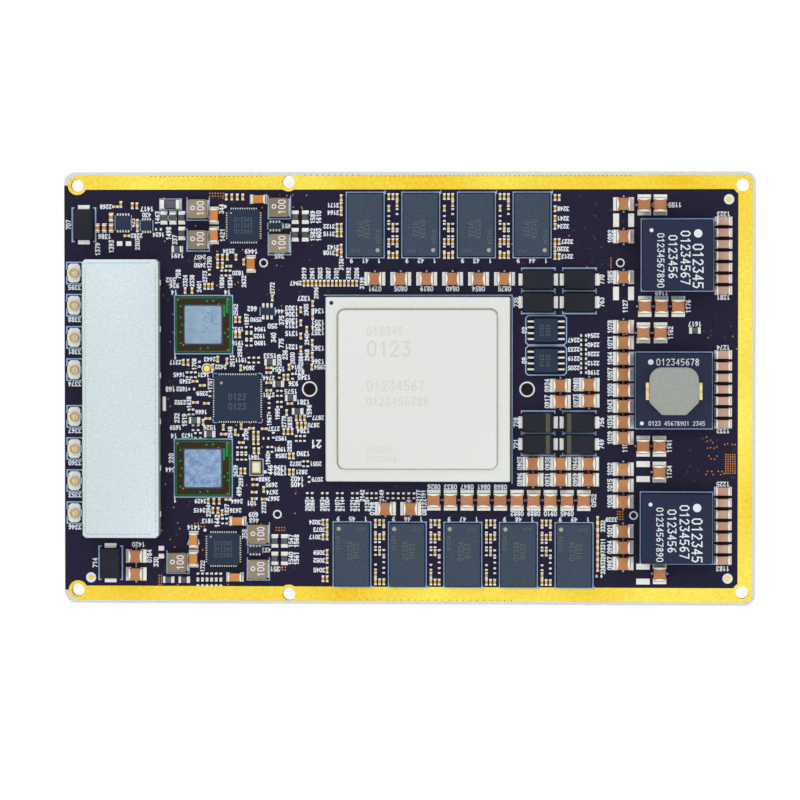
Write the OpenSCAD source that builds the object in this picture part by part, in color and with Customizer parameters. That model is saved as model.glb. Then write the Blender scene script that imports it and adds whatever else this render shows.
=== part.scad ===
// System on module: a processor, two radio transceivers, memory and power modules on one board.
// Lengths in mm, +Z up, origin under the middle of the board on the plane it rests on.

/* [Board] */
// Board length along X
board_l = 150; // [148.6:0.2:165]
// Board width along Y
board_w = 93.8; // [93.4:0.2:105]
// Laminate thickness
board_t = 2; // [1.2:0.1:3]
// Outer corner radius
corner_r = 2.4; // [1:0.1:2.6]
// Solder mask and plating thickness
film_t = 0.06; // [0.04:0.01:0.1]
// Bare laminate left outside the ground strip
border_w = 0.7; // [0.3:0.1:0.9]
// Width of the ground strip
strip_w = 3.1; // [2.8:0.1:3.3]
// Solder pad thickness
pad_t = 0.05; // [0.03:0.01:0.1]

/* [Holes] */
// Mounting hole diameter
hole_d = 2.8; // [2.2:0.1:3.1]
// Corner hole distance from the short edge
hole_inset_x = 2.85; // [2.6:0.05:3.1]
// Corner hole distance from the long edge
hole_inset_y = 2.9; // [2.6:0.05:3.1]
// Middle hole distance from the long edge
mid_inset_y = 2.15; // [2:0.05:2.4]
// Middle hole place along X
mid_hole_x = -26.05; // [-27:0.05:-25]
// Plated ring round each mounting hole, radial width
ring_w = 0.65; // [0.4:0.05:0.8]
// Heatsink hole diameter
sink_hole_d = 2.74; // [2:0.02:3]
// Distance between the two heatsink holes
sink_pitch = 47.2; // [46.5:0.1:48]
// Ring round a heatsink or peg hole, radial width
small_ring_w = 0.3; // [0.15:0.05:0.35]

/* [Processor] */
// Package side
proc_w = 40; // [38:0.5:40.5]
// Substrate thickness
proc_sub_t = 1.2; // [0.8:0.1:1.6]
// Height of the lid's flange above the substrate
lid_flange_t = 1.1; // [0.6:0.1:1.3]
// Height of the raised middle above the flange
lid_raise = 1.1; // [0.6:0.1:1.5]
// Side of the raised middle
lid_top_w = 34.4; // [30:0.2:36]
// Diameter of the recess that marks the first pin
lid_mark_d = 0.9; // [0.5:0.1:1.2]
// Depth of that recess
lid_mark_t = 0.3; // [0.1:0.05:0.5]
// Distance of that recess from the lid's edges
lid_mark_inset = 1.3; // [0.9:0.1:1.8]
// Side of the silicon under the lid
proc_die_w = 24; // [16:1:26]
// Thickness of the silicon under the lid
proc_die_t = 0.8; // [0.5:0.05:1.2]

/* [Chips] */
// Transceiver package side
trx_w = 12; // [11:0.1:12.2]
// Transceiver substrate thickness
trx_sub_t = 0.8; // [0.5:0.1:1.2]
// Transceiver die length along Y
trx_die_l = 8.2; // [7:0.1:8.6]
// Transceiver die width along X
trx_die_w = 8; // [7:0.1:8.4]
// Transceiver die thickness
trx_die_t = 0.5; // [0.3:0.05:0.8]
// Clock chip side
clock_w = 10; // [9.4:0.1:10.2]
// Supply controller side
ctl_w = 7; // [6.4:0.1:7.2]
// Leadless package height
qfn_t = 0.9; // [0.7:0.05:1.2]
// Lead pitch of the leadless packages
qfn_pitch = 0.5; // [0.4:0.02:0.52]
// Width of a leadless package's lead
qfn_lead_w = 0.24; // [0.15:0.01:0.3]
// How far a lead shows outside its package
qfn_lead_out = 0.35; // [0.2:0.05:0.4]
// Memory chip width along X
mem_w = 7.5; // [7:0.1:7.8]
// Memory chip length along Y
mem_l = 13.5; // [12:0.1:13.8]
// Memory chip height
mem_t = 1.2; // [0.8:0.05:1.4]
// Memory chip pitch along X
mem_pitch = 12.05; // [11.9:0.01:12.15]
// Flash chip body side
flash_w = 5.1; // [4.6:0.1:5.3]
// Flash chip height
flash_t = 1.8; // [1.4:0.1:2.2]
// Flash chip lead pitch
flash_pitch = 1.27; // [1.1:0.01:1.3]
// Flash chip span over its leads
flash_span = 8; // [7.4:0.1:8.2]

/* [Power modules] */
// Outer module side
pm_w = 15; // [14:0.1:15.2]
// Outer module height
pm_t = 4.3; // [3:0.1:5]
// Middle module side
core_w = 16; // [15:0.1:16.2]
// Middle module height without its inductor
core_t = 3.5; // [2.5:0.1:4.5]
// Inductor length along X
choke_l = 10.6; // [9:0.1:11.5]
// Inductor width along Y
choke_w = 10.2; // [9:0.1:11]
// Inductor height
choke_t = 3.5; // [2:0.1:4.5]
// Brass tab width along Y
tab_w = 3.7; // [2.5:0.1:5]
// Brass tab thickness
tab_t = 0.75; // [0.3:0.05:1]

/* [Shield can] */
// Can length along Y
can_l = 60.3; // [58:0.1:60.6]
// Can width along X
can_w = 16.5; // [16:0.1:16.7]
// Can height
can_t = 5; // [3:0.1:5.5]
// Sheet thickness
can_sheet = 0.25; // [0.2:0.05:0.4]
// How far the lid's skirt stays above the board
can_skirt_gap = 1; // [0.5:0.1:1.5]
// Corner chamfer of the lid
can_chamfer = 0.6; // [0.4:0.1:1.2]

/* [Coaxial receptacles] */
// Base width along X
rf_w = 2.6; // [2.2:0.1:2.8]
// Base length along Y
rf_l = 4.1; // [3.6:0.1:4.2]
// How far the middle of a base stands out on each side
rf_ear = 0.25; // [0.1:0.05:0.4]
// Base height
rf_t = 0.8; // [0.5:0.1:1.2]
// Shell outer diameter
rf_shell_d = 2.05; // [1.8:0.05:2.4]
// Shell wall
rf_wall = 0.2; // [0.15:0.05:0.4]
// Shell height above the base
rf_shell_t = 0.5; // [0.3:0.1:1.2]
// Centre pin diameter
rf_pin_d = 0.6; // [0.4:0.05:0.8]

/* [Capacitors and inductors] */
// Large ceramic capacitor length
cap_l = 3.2; // [2.8:0.05:3.3]
// Large ceramic capacitor width
cap_w = 2.6; // [2.2:0.05:2.7]
// Large ceramic capacitor height
cap_t = 2; // [1.2:0.1:2.6]
// Medium ceramic capacitor length
mid_cap_l = 3.2; // [2.8:0.05:3.3]
// Medium ceramic capacitor width
mid_cap_w = 1.7; // [1.4:0.05:1.8]
// Medium ceramic capacitor height
mid_cap_t = 1.6; // [1:0.1:1.8]
// Grey chip length
bead_l = 2; // [1.8:0.05:2.2]
// Grey chip width
bead_w = 1.3; // [1.1:0.05:1.4]
// Grey chip height
bead_t = 0.9; // [0.6:0.05:1.2]
// Terminal band as a share of a chip's length
band_share = 0.18; // [0.14:0.01:0.24]
// Terminal band of a medium capacitor as a share of its length
slim_share = 0.11; // [0.08:0.01:0.18]
// How much a terminal stands out round its body
band_out = 0.04; // [0.02:0.01:0.05]
// Half-size capacitor length
half_cap_l = 1.6; // [1.4:0.05:1.7]
// Half-size capacitor width
half_cap_w = 0.85; // [0.7:0.05:0.95]
// Tantalum capacitor length
tant_l = 7.3; // [6.6:0.1:7.5]
// Tantalum capacitor width
tant_w = 4.3; // [3.8:0.1:4.4]
// Tantalum capacitor height
tant_t = 2; // [1.6:0.1:3.2]
// How far a tantalum capacitor's top draws in on each side
tant_draft = 0.2; // [0.05:0.05:0.4]
// Tantalum terminal thickness
tant_lead_t = 0.3; // [0.15:0.05:0.4]
// Inductor side
coil_w = 4.1; // [3.7:0.1:4.3]
// Inductor height
coil_t = 2.5; // [1.5:0.1:3]
// Inductor terminal thickness
coil_lead_t = 0.2; // [0.1:0.05:0.25]

/* [Small chips] */
// Small chip length
chip_l = 1; // [0.8:0.02:1.04]
// Small chip width
chip_w = 0.5; // [0.4:0.02:0.54]
// Small chip height
chip_t = 0.4; // [0.3:0.02:0.5]

/* [Carrier connectors] */
// Housing length along X
conn_l = 82; // [80.4:0.2:86]
// Housing width along Y
conn_w = 12; // [11:0.2:13]
// Housing height
conn_t = 5; // [3.5:0.1:8]
// Housing wall
conn_wall = 1.4; // [1:0.1:1.8]
// Housing floor under the board
conn_floor = 1.5; // [1:0.1:2]
// Contact pitch along X
contact_pitch = 2; // [1.8:0.05:2.1]
// Alignment peg diameter
peg_d = 1.2; // [0.8:0.05:1.25]
// Play between a peg and its hole, across
peg_play = 0.1; // [0.05:0.01:0.2]

/* [Hidden] */
$fn = 48;
under_z = conn_t;
board_z = under_z + board_t;
top_z = board_z + film_t;
land_z = top_z + pad_t;
half_l = board_l / 2;
half_w = board_w / 2;
corner_x = half_l - hole_inset_x;
corner_y = half_w - hole_inset_y;
mid_y = half_w - mid_inset_y;
proc_x = 2.1;
proc_y = -0.15;
peg_hole_d = peg_d + peg_play;
peg_pitch = 77.3;
conn_places = [[7.15, 27.2], [10.1, -27.4]];
trx_places = [[-44.6, 13.8], [-44.7, -17.4]];
clock_place = [-37.2, -2.15];
ctl_places = [[-35.8, 35.3], [-40.3, -35]];
pm_places = [[58.1, 28.9], [58, -30.1]];
core_place = [57.4, -0.35];
flash_places = [[29.8, 12.65], [29.8, 6.1]];
can_place = [-62.2, -2.2];
// First chip of each memory row, and how many
mem_rows = [[-9.4, 35.4, 4], [-12.3, -36.1, 5]];
rf_x = -half_l + 2.2;
rf_rows = [25, -6.2];
rf_pitch = 7;

// Least gap between the processor's edge and the pads beside it, and how far a pad reaches past its part
part_gap = 0.35;
cap_reach = cap_l / 2 + 0.65;
tant_reach = tant_l / 2 + 0.6;
tant_x = max(28.1, proc_x + proc_w / 2 + part_gap + tant_reach);
low_row_y = min(-24.2, proc_y - proc_w / 2 - part_gap - cap_reach);

// Rows of parts: first place X, Y, count, step X, step Y
cap_h = [
  [46.5, 39.9, 2, 0, -7], [46.5, 24.1, 1, 0, 0], [46.5, 13.4, 8, 0, -3.43],
  [46.5, -17.4, 3, 0, -3.5], [46.5, -30.8, 3, 0, -3.5], [-7.3, 23.75, 6, 5.62, 0],
  [32.9, 0.7, 2, 0, -3.5], [39.1, 0.9, 2, 0, -3.5], [27, -16.2, 3, 6, 0],
  [27, -19.7, 3, 6, 0], [-5, -26.1, 2, 5.5, 0], [-59.4, -36.6, 2, 0, -3.9]
];
cap_v = [
  [50.95, 39.7, 2, 3.45, 0], [51.1, 17.8, 3, 3.6, 0], [50.8, 12.1, 2, 3.7, 0],
  [50.8, -12.4, 2, 3.5, 0], [54.3, -18, 1, 0, 0], [54.4, -40, 1, 0, 0],
  [5.5, low_row_y, 10, 3.61, 0]
];
// Footprints that carry no part
bare_h = [[46.5, 36.4, 1, 0, 0], [46.5, 20.6, 1, 0, 0]];
bare_v = [[50.8, -17.9, 1, 0, 0], [50.8, -40.1, 1, 0, 0]];
edge_cap_h = [[68, 36.2, 7, 0, -2.49], [68, 7.4, 7, 0, -2.49], [68, -22.1, 7, 0, -2.49]];
filter_cap_v = [[-42.25, 37.5, 2, 0, -4.3], [-34.2, 27, 1, 0, 0], [-46.8, -33, 2, 0, -4.1]];
filter_cap_h = [[-32.55, 41, 1, 0, 0], [-37.2, -28.9, 1, 0, 0], [-37.8, -41.1, 1, 0, 0]];
half_cap_v = [[-67.7, 34.8, 3, 1.5, 0], [-64.7, 37.1, 1, 0, 0]];
bead_v = [
  [-53.2, 37, 3, 1.95, 0], [-49.3, 33.6, 1, 0, 0], [-24.6, 37.1, 2, 2.2, 0], [-24.6, 33.3, 2, 2.2, 0],
  [-29.1, -33.2, 2, 2.1, 0], [-29.1, -37, 2, 2.1, 0]
];
bead_h = [
  [-52.3, -41.7, 2, 3.4, 0], [-50.3, 30.2, 1, 0, 0], [-30.1, 5.65, 1, 0, 0], [-28.3, 0.95, 1, 0, 0],
  [-25.6, -2.1, 1, 0, 0], [-24.1, -5, 1, 0, 0], [-43.3, -10, 1, 0, 0], [-46.6, -7, 1, 0, 0],
  [61.9, 12.6, 1, 0, 0]
];
tall_bead_h = [[-51.75, 39.9, 1, 0, 0]];
tant_h = [
  [tant_x, 23.6, 2, 8.9, 0], [tant_x, 18.7, 2, 8.9, 0], [tant_x, -7.3, 2, 8.9, 0], [tant_x, -12, 2, 8.9, 0]
];
tant_v = [[-70.7, 35.5, 1, 0, 0], [-65, -38.1, 1, 0, 0]];
coils = [
  [-45.75, 38.9, 2, 0, -6.7], [-28.05, 39.2, 2, 0, -7.8], [-32.7, -31.7, 2, 0, -7.6], [-50.25, -37.9, 1, 0, 0]
];
// Small capacitors lying along Y
chip_cap_v = [
  [-41.5, 28.45, 3, 1.05, 0], [-37.5, 28.45, 1, 0, 0], [-35.8, 27.4, 1, 0, 0], [-44.3, 22.1, 3, 0.8, 0],
  [-48.6, 21.2, 2, 1.5, 0], [-29.6, 19.6, 1, 0, 0], [-37.6, 14.9, 2, 0.9, 0], [-37.6, 11.6, 2, 0.9, 0],
  [-20.8, 18.4, 1, 0, 0], [-23.4, 17.05, 1, 0, 0], [-20.8, 15.6, 1, 0, 0], [-23.4, 14.2, 1, 0, 0],
  [-22.1, 12.8, 1, 0, 0], [-23.4, 11.35, 1, 0, 0], [-20.9, 9.95, 1, 0, 0], [-23.4, 8.5, 1, 0, 0],
  [-20.9, 7.2, 1, 0, 0], [-25.95, 4.6, 1, 0, 0], [-21, 4.6, 1, 0, 0], [-49, 5.6, 2, 1, 0],
  [-42.6, 4.6, 1, 0, 0], [-41.5, 6.3, 1, 0, 0], [-39.5, 5.9, 1, 0, 0], [-36.5, 4.4, 1, 0, 0],
  [-26.5, -5.3, 1, 0, 0], [-27.1, 2.4, 2, 0.9, 0], [-44.7, -7.4, 1, 0, 0], [-37.7, -9.6, 1, 0, 0],
  [-36.4, -8.3, 1, 0, 0], [-40.3, -8.5, 1, 0, 0], [-33.7, -10, 2, 1, 0], [-33.7, -11.6, 2, 1, 0],
  [-33.6, -13.6, 2, 1, 0], [-27.1, -9.4, 3, 0.9, 0], [-36.5, -18, 2, 0.9, 0], [-25.9, -18.2, 2, 0.85, 0],
  [-25.9, -14.7, 2, 0.85, 0], [-40.6, -27.1, 1, 0, 0], [-60.1, 39.6, 2, 1, 0], [-59, 36, 1, 0, 0],
  [-59, 34.6, 1, 0, 0], [-31.5, -22, 1, 0, 0], [-22.7, 22.8, 14, 0.88, 0], [-41.5, 26.7, 2, 1.05, 0],
  [-39.6, 41.5, 4, 1.2, 0], [-43.6, -24.6, 3, 1.2, 0], [-42.6, -26.6, 2, 1.1, 0], [-24.4, -6.4, 3, 0.9, 0],
  [-24.2, -8, 3, 0.9, 0], [-62.6, 39.9, 1, 0, 0]
];
// Small capacitors lying along X
chip_cap_h = [
  [-39.1, 26.5, 1, 0, 0], [-30.4, 4.45, 1, 0, 0], [-30.4, 3.4, 1, 0, 0], [-30.4, 1.2, 1, 0, 0],
  [-30.4, -0.45, 1, 0, 0], [-25.8, -3.3, 1, 0, 0], [-46.5, 1.5, 1, 0, 0], [-44.9, 0.6, 1, 0, 0],
  [-34.2, -8.7, 1, 0, 0], [-31.4, -8.8, 1, 0, 0], [-40.3, -10, 1, 0, 0], [-33.4, -21, 1, 0, 0],
  [-33.6, -22.6, 1, 0, 0], [-33.6, -24, 1, 0, 0], [-31.4, -24.1, 1, 0, 0], [-39.3, -24.2, 1, 0, 0],
  [-33.5, -19.8, 1, 0, 0], [-36.4, -11.8, 1, 0, 0], [-46.4, -3.1, 1, 0, 0], [-44, -3.3, 1, 0, 0],
  [-43.7, -6.6, 1, 0, 0], [-63.8, 39.4, 1, 0, 0], [-61.3, 33.1, 1, 0, 0]
];
// Small capacitors between the memory chips, from the gap's middle and the row's middle: X, Y
gap_cap_top = [[0.9, 4.6], [0, 6.15], [-0.9, 6.15], [0.9, 6.15], [0, -0.3], [0, -6.6], [-0.9, -6.6],
  [0.9, -6.6], [-0.9, -3.6], [0.9, -3.6], [0, -3.6], [-0.9, 3.6]];
gap_cap_bottom = [[-0.9, 7], [0, 7], [0.9, 7], [0, 0.5], [-0.9, 3.9], [0, 3.9], [0.9, 3.9], [-0.9, -4.4],
  [-0.9, -5.9], [0, -5.9], [0.9, -5.9]];
gap_res_top = [[0.9, 2.9], [-0.9, 1.4], [-0.9, -0.3], [0.9, -0.3], [0, -1.9], [0.9, -1.9], [-0.9, -5.2],
  [0.9, -5.2]];
gap_res_bottom = [[-0.9, 5.45], [0.9, 5.45], [-0.9, 2.2], [0, 2.2], [-0.9, 0.5], [0.9, 0.5], [0.9, -1.1],
  [-0.9, -2.7], [0.9, -3.4]];
// Small resistors lying along Y
chip_res_v = [
  [-43.3, 25.2, 1, 0, 0], [-45.5, 5.2, 1, 0, 0], [-34.7, 6.1, 3, 1.05, 0], [-28.5, -1.1, 2, 0.85, 0],
  [-28.5, -3.5, 2, 0.85, 0], [-30.3, -2.7, 1, 0, 0], [-30.3, -4.8, 1, 0, 0], [-46.9, -8.6, 2, 1.1, 0],
  [-29.4, -10.2, 1, 0, 0], [-40.5, -28.9, 2, 0.9, 0], [-45.9, -40.9, 6, 1, 0], [-45.9, -42.4, 6, 1, 0],
  [-28.1, 2.8, 1, 0, 0], [-25.2, 2.6, 1, 0, 0], [-21.6, -19.8, 1, 0, 0], [-22, -23.3, 4, 3.27, 0],
  [-20.95, -23.3, 4, 3.27, 0],
  [-9, -23.3, 3, 1, 0], [-4.5, -23.3, 6, 1.14, 0], [-43.2, -1.2, 1, 0, 0],
  [-35.2, 12.8, 3, 0, -1.5], [-34.2, 12.8, 3, 0, -1.5], [-47.8, -5.2, 2, 0.9, 0],
  [-48.2, 2.9, 3, 0.9, 0], [-46.4, -10.3, 2, 1.1, 0], [-37.2, -13.4, 3, 0.9, 0], [-37.2, -15, 3, 0.9, 0],
  [-24.4, -10.9, 3, 0.9, 0], [-30.6, -13.3, 2, 0.9, 0], [-22.8, -16.4, 2, 0.9, 0], [-40.6, 25, 3, 0.9, 0]
];
// Small resistors lying along X
chip_res_h = [
  [37.9, 11.5, 9, 0, -1], [-36.5, -10.2, 1, 0, 0], [-31, -10.9, 1, 0, 0], [-54.4, 34.5, 1, 0, 0],
  [-47.2, -0.2, 1, 0, 0], [41.3, -40.6, 1, 0, 0]
];
// Rows of small capacitors that edge the memory chips
side_rows = [
  [-14.6, 41.3, 3, 0, -1.6], [-14.6, 35.1, 2, 0, -1.6], [-14.6, 30.6, 2, 0, -1.6], [-15.5, 35.1, 2, 0, -1.6],
  [-15.5, 29.4, 1, 0, 0], [31.7, 41.3, 2, 0, -2.4], [32.6, 41.3, 1, 0, 0], [31.7, 36.8, 2, 0, -1.7],
  [31.7, 31.8, 3, 0, -1.6], [32.6, 31.8, 2, 0, -3.2], [-17.7, -29.1, 3, 0, -1.6], [-18.6, -29.1, 2, 0, -3.2],
  [-17.7, -35.7, 2, 0, -1.7], [-17.7, -39.5, 2, 0, -1.9], [-18.6, -41.4, 1, 0, 0], [41, -28.3, 3, 0, -1.45],
  [41, -32.4, 6, 0, -1.3]
];
// Decoupling capacitors under the processor: count each way and pitch
under_n = 8;
under_pitch = 2.4;

module at(rows) {
  for (r = rows)
    if (r[2] > 0)
      for (i = [0 : r[2] - 1])
        translate([r[0] + i * r[3], r[1] + i * r[4], 0])
          children();
}

module mid_box(l, w, t, z) {
  translate([-l / 2, -w / 2, z])
    cube([l, w, t]);
}

module chamfer_box(l, w, t, z, c) {
  translate([0, 0, z])
    linear_extrude(t)
      polygon([
        [-l / 2 + c, -w / 2], [l / 2 - c, -w / 2], [l / 2, -w / 2 + c], [l / 2, w / 2 - c],
        [l / 2 - c, w / 2], [-l / 2 + c, w / 2], [-l / 2, w / 2 - c], [-l / 2, -w / 2 + c]
      ]);
}

module round_box(l, w, t, z, r) {
  mid_box(l - 2 * r, w, t, z);
  mid_box(l, w - 2 * r, t, z);
  for (sx = [-1, 1], sy = [-1, 1])
    translate([sx * (l / 2 - r), sy * (w / 2 - r), z])
      cylinder(r = r, h = t);
}

module at_corners() {
  for (sx = [-1, 1], sy = [-1, 1])
    translate([sx * corner_x, sy * corner_y, 0])
      children();
}

module at_mids() {
  for (sy = [-1, 1])
    translate([mid_hole_x, sy * mid_y, 0])
      children();
}

module at_sinks() {
  for (s = [-1, 1])
    translate([proc_x + s * sink_pitch / 2, proc_y, 0])
      children();
}

module at_pegs() {
  for (p = conn_places, s = [-1, 1])
    translate([p[0] + s * peg_pitch / 2, p[1], 0])
      children();
}

module board_bores(z, t) {
  at_corners()
    translate([0, 0, z])
      cylinder(d = hole_d, h = t);
  at_mids()
    translate([0, 0, z])
      cylinder(d = hole_d, h = t);
  at_sinks()
    translate([0, 0, z])
      cylinder(d = sink_hole_d, h = t);
  at_pegs()
    translate([0, 0, z])
      cylinder(d = peg_hole_d, h = t);
}

module circuit_board() {
  color("#d9dcd6")
    difference() {
      round_box(board_l, board_w, board_t, under_z, corner_r);
      board_bores(under_z - 1, board_t + 2);
    }
}

// Outline inside the bare border, which the left edge doesn't have
module inner_outline(z, t) {
  r = corner_r - border_w;
  translate([-border_w / 2, 0, 0])
    round_box(board_l - border_w, board_w - 2 * border_w, t, z, r);
}

// Area of the ground strip, before its holes
module strip_area(z, t) {
  edge = border_w + strip_w;
  intersection() {
    inner_outline(z, t);
    union() {
      difference() {
        mid_box(board_l, board_w, t, z);
        translate([-half_l - 1, -half_w + edge, z - 1])
          cube([board_l + 1 - edge, board_w - 2 * edge, t + 2]);
        for (sy = [-1, 1])
          translate([-half_l - 1, sy * half_w - half_w, z - 1])
            cube([1 + hole_inset_x, board_w, t + 2]);
      }
      at_corners()
        translate([0, 0, z])
          cylinder(d = hole_d + 2 * ring_w, h = t);
      at_mids()
        translate([0, 0, z])
          cylinder(d = hole_d + 2 * ring_w, h = t);
    }
  }
}

module solder_mask() {
  color("#26202f")
    for (z = [board_z, under_z - film_t])
      difference() {
        inner_outline(z, film_t);
        strip_area(z - 1, film_t + 2);
        board_bores(z - 1, film_t + 2);
        for (sy = [-1, 1])
          translate([-half_l, sy * half_w, 0])
            mid_box(2 * hole_inset_x, 2 * hole_inset_y, film_t + 2, z - 1);
      }
}

module ground_strip() {
  color("#fddc2c")
    for (z = [board_z, under_z - film_t])
      difference() {
        strip_area(z, film_t);
        board_bores(z - 1, film_t + 2);
      }
}

module ring(d) {
  difference() {
    cylinder(d = d + 2 * small_ring_w, h = pad_t);
    translate([0, 0, -1])
      cylinder(d = d, h = pad_t + 2);
  }
}

module hole_rings() {
  color("#eef2f4")
    translate([0, 0, top_z]) {
      at_sinks()
        ring(sink_hole_d);
      at_pegs()
        ring(peg_hole_d);
    }
}

module gold_discs() {
  color("#f2b92a")
    for (p = [[-43.9, 4.25, 1.4], [-69.3, -41.3, 1], [69.2, 40.9, 1], [69.05, -41, 1]])
      translate([p[0], p[1], top_z])
        cylinder(d = p[2], h = pad_t);
}

// Two pads under the ends of a chip
module land(l, w, share) {
  for (s = [-1, 1])
    translate([s * l * (1 - share) / 2, 0, 0])
      mid_box(l * share, w, pad_t, top_z);
}

module turned(rows) {
  at(rows)
    rotate([0, 0, 90])
      children();
}

module solder_pads() {
  color("#eef0ea") {
    at(cap_h)
      land(cap_l + 1.3, cap_w + 0.3, 0.28);
    turned(cap_v)
      land(cap_l + 1.3, cap_w + 0.3, 0.28);
    at(bare_h)
      land(cap_l + 1.3, cap_w + 0.3, 0.28);
    turned(bare_v)
      land(cap_l + 1.3, cap_w + 0.3, 0.28);
    at(edge_cap_h)
      land(mid_cap_l + 0.6, mid_cap_w + 0.2, 0.2);
    at(filter_cap_h)
      land(mid_cap_l + 0.6, mid_cap_w + 0.3, 0.2);
    turned(filter_cap_v)
      land(mid_cap_l + 0.6, mid_cap_w + 0.3, 0.2);
    turned(half_cap_v)
      land(half_cap_l + 0.4, half_cap_w + 0.1, 0.3);
    at(bead_h)
      land(bead_l + 0.5, bead_w + 0.1, 0.28);
    turned(bead_v)
      land(bead_l + 0.9, bead_w + 0.2, 0.28);
    at(tall_bead_h)
      land(bead_l * 2 + 0.8, bead_w * 1.35 + 0.2, 0.25);
    at(tant_h)
      land(tant_l + 1.2, tant_w * 0.6, 0.14);
    turned(tant_v)
      land(tant_l + 1.2, tant_w * 0.6, 0.14);
    at(coils)
      land(coil_w + 0.5, coil_w - 0.3, 0.24);
    at([[-62.9, 31.4, 2, 1.95, 0], [-53.9, -34.9, 2, 0, -1.7]])
      mid_box(1.2, 1, pad_t, top_z);
    at([[-53.2, -3.4, 1, 0, 0]])
      mid_box(0.7, 3.1, pad_t, top_z);
  }
}

module processor_substrate() {
  color("#2f6b45")
    translate([proc_x, proc_y, 0])
      mid_box(proc_w, proc_w, proc_sub_t, top_z);
}

module processor_die() {
  color("#8f9aa8")
    translate([proc_x, proc_y, 0])
      mid_box(proc_die_w, proc_die_w, proc_die_t, top_z + proc_sub_t);
}

module processor_lid() {
  z = top_z + proc_sub_t;
  corner = 1.5;
  mark = proc_w / 2 - lid_mark_inset;
  color("#ecece8")
    translate([proc_x, proc_y, 0])
      difference() {
        union() {
          round_box(proc_w, proc_w, lid_flange_t, z, 0.4);
          round_box(lid_top_w, lid_top_w, lid_flange_t + lid_raise, z, corner);
        }
        mid_box(proc_die_w + 2, proc_die_w + 2, proc_die_t + 1, z - 1);
        translate([-mark, mark, z + lid_flange_t - lid_mark_t])
          cylinder(d = lid_mark_d, h = 1);
      }
}

module transceiver_substrate(i) {
  color("#0b7a3a")
    translate(trx_places[i])
      mid_box(trx_w, trx_w, trx_sub_t, top_z);
}

module transceiver_die(i) {
  color("#a9bdd2")
    translate(trx_places[i])
      mid_box(trx_die_w, trx_die_l, trx_die_t, top_z + trx_sub_t);
}

module qfn_leads(w, n) {
  span = qfn_pitch * (n - 1);
  for (a = [0, 90, 180, 270], i = [0 : n - 1])
    rotate([0, 0, a])
      translate([w / 2, i * qfn_pitch - span / 2 - qfn_lead_w / 2, top_z])
        cube([qfn_lead_out, qfn_lead_w, qfn_t * 0.3]);
}

module clock_chip() {
  color("#2e3d50")
    translate(clock_place)
      mid_box(clock_w, clock_w, qfn_t, top_z);
}

module clock_chip_leads() {
  color("#f0f2f0")
    translate(clock_place)
      qfn_leads(clock_w, 17);
}

module supply_controller(i) {
  color("#2b3443")
    translate(ctl_places[i])
      mid_box(ctl_w, ctl_w, qfn_t, top_z);
}

module supply_controller_leads() {
  color("#f0f2f0")
    for (p = ctl_places)
      translate(p)
        qfn_leads(ctl_w, 12);
}

module memory_chip(row, i) {
  m = mem_rows[row];
  color("#414b57")
    translate([m[0] + i * mem_pitch, m[1], 0])
      mid_box(mem_w, mem_l, mem_t, top_z);
}

module power_module(i) {
  color("#262f43")
    translate(pm_places[i])
      mid_box(pm_w, pm_w, pm_t, top_z);
}

module core_power_module() {
  color("#262f43")
    translate(core_place)
      mid_box(core_w, core_w, core_t, top_z);
}

// Far corners round, near corners cut
module core_inductor() {
  c = 2.7;
  x = choke_l / 2;
  y = choke_w / 2;
  z = top_z + core_t;
  color("#b4b4aa")
    translate(core_place) {
      translate([0, 0, z])
        linear_extrude(choke_t)
          polygon([[c - x, -y], [x - c, -y], [x, c - y], [x, y - c], [-x, y - c], [-x, c - y]]);
      translate([c - x, y - c, z])
        cube([choke_l - 2 * c, c, choke_t]);
      for (s = [-1, 1])
        translate([s * (x - c), y - c, z])
          cylinder(r = c, h = choke_t);
    }
}

module core_inductor_tabs() {
  color("#e0c070")
    translate(core_place)
      for (s = [-1, 1])
        translate([s * (choke_l + tab_t) / 2, 0, 0])
          mid_box(tab_t, tab_w, choke_t * 0.8, top_z + core_t);
}

module flash_chip(i) {
  color("#2a3242")
    translate(flash_places[i])
      mid_box(flash_w, flash_w, flash_t - 0.1, top_z + 0.1);
}

module gull_lead(reach) {
  t = 0.2;
  w = 0.42;
  foot = reach * 0.5;
  translate([0, -w / 2, top_z + flash_t / 2])
    cube([reach - foot + t, w, t]);
  translate([reach - foot, -w / 2, top_z])
    cube([t, w, flash_t / 2 + t]);
  translate([reach - foot, -w / 2, top_z])
    cube([foot, w, t]);
}

module flash_leads() {
  reach = (flash_span - flash_w) / 2;
  color("#e4e6e4")
    for (p = flash_places, a = [0, 180], i = [0 : 3])
      translate(p)
        rotate([0, 0, a])
          translate([flash_w / 2, (i - 1.5) * flash_pitch, 0])
            gull_lead(reach);
}

module shield_frame() {
  l = can_l - 2 * can_sheet;
  w = can_w - 2 * can_sheet;
  h = can_t - can_sheet;
  rail = 1.2;
  color("#c8ced0")
    translate(can_place)
      difference() {
        chamfer_box(w, l, h, top_z, can_chamfer);
        chamfer_box(w - 2 * can_sheet, l - 2 * can_sheet, h - can_sheet + 1, top_z - 1, can_chamfer);
        mid_box(w - 2 * rail, l - 2 * rail, h, top_z + 1);
      }
}

module shield_lid() {
  h = can_t - can_skirt_gap;
  color("#e2e9ec")
    translate(can_place) {
      difference() {
        chamfer_box(can_w, can_l, h, top_z + can_skirt_gap, can_chamfer);
        chamfer_box(can_w - 2 * can_sheet, can_l - 2 * can_sheet, h, top_z + can_skirt_gap - can_sheet,
          can_chamfer);
      }
      shield_clips();
    }
}

// Ridges in the lid's long walls that snap onto the frame
module shield_clips() {
  out = 0.2;
  root = can_sheet / 2;
  for (s = [-1, 1], i = [0 : 5])
    translate([s * (can_w + out - root) / 2, (i - 2.5) * can_l / 6, 0])
      mid_box(out + root, 1.2, 0.5, top_z + can_skirt_gap + 0.5);
}

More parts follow.
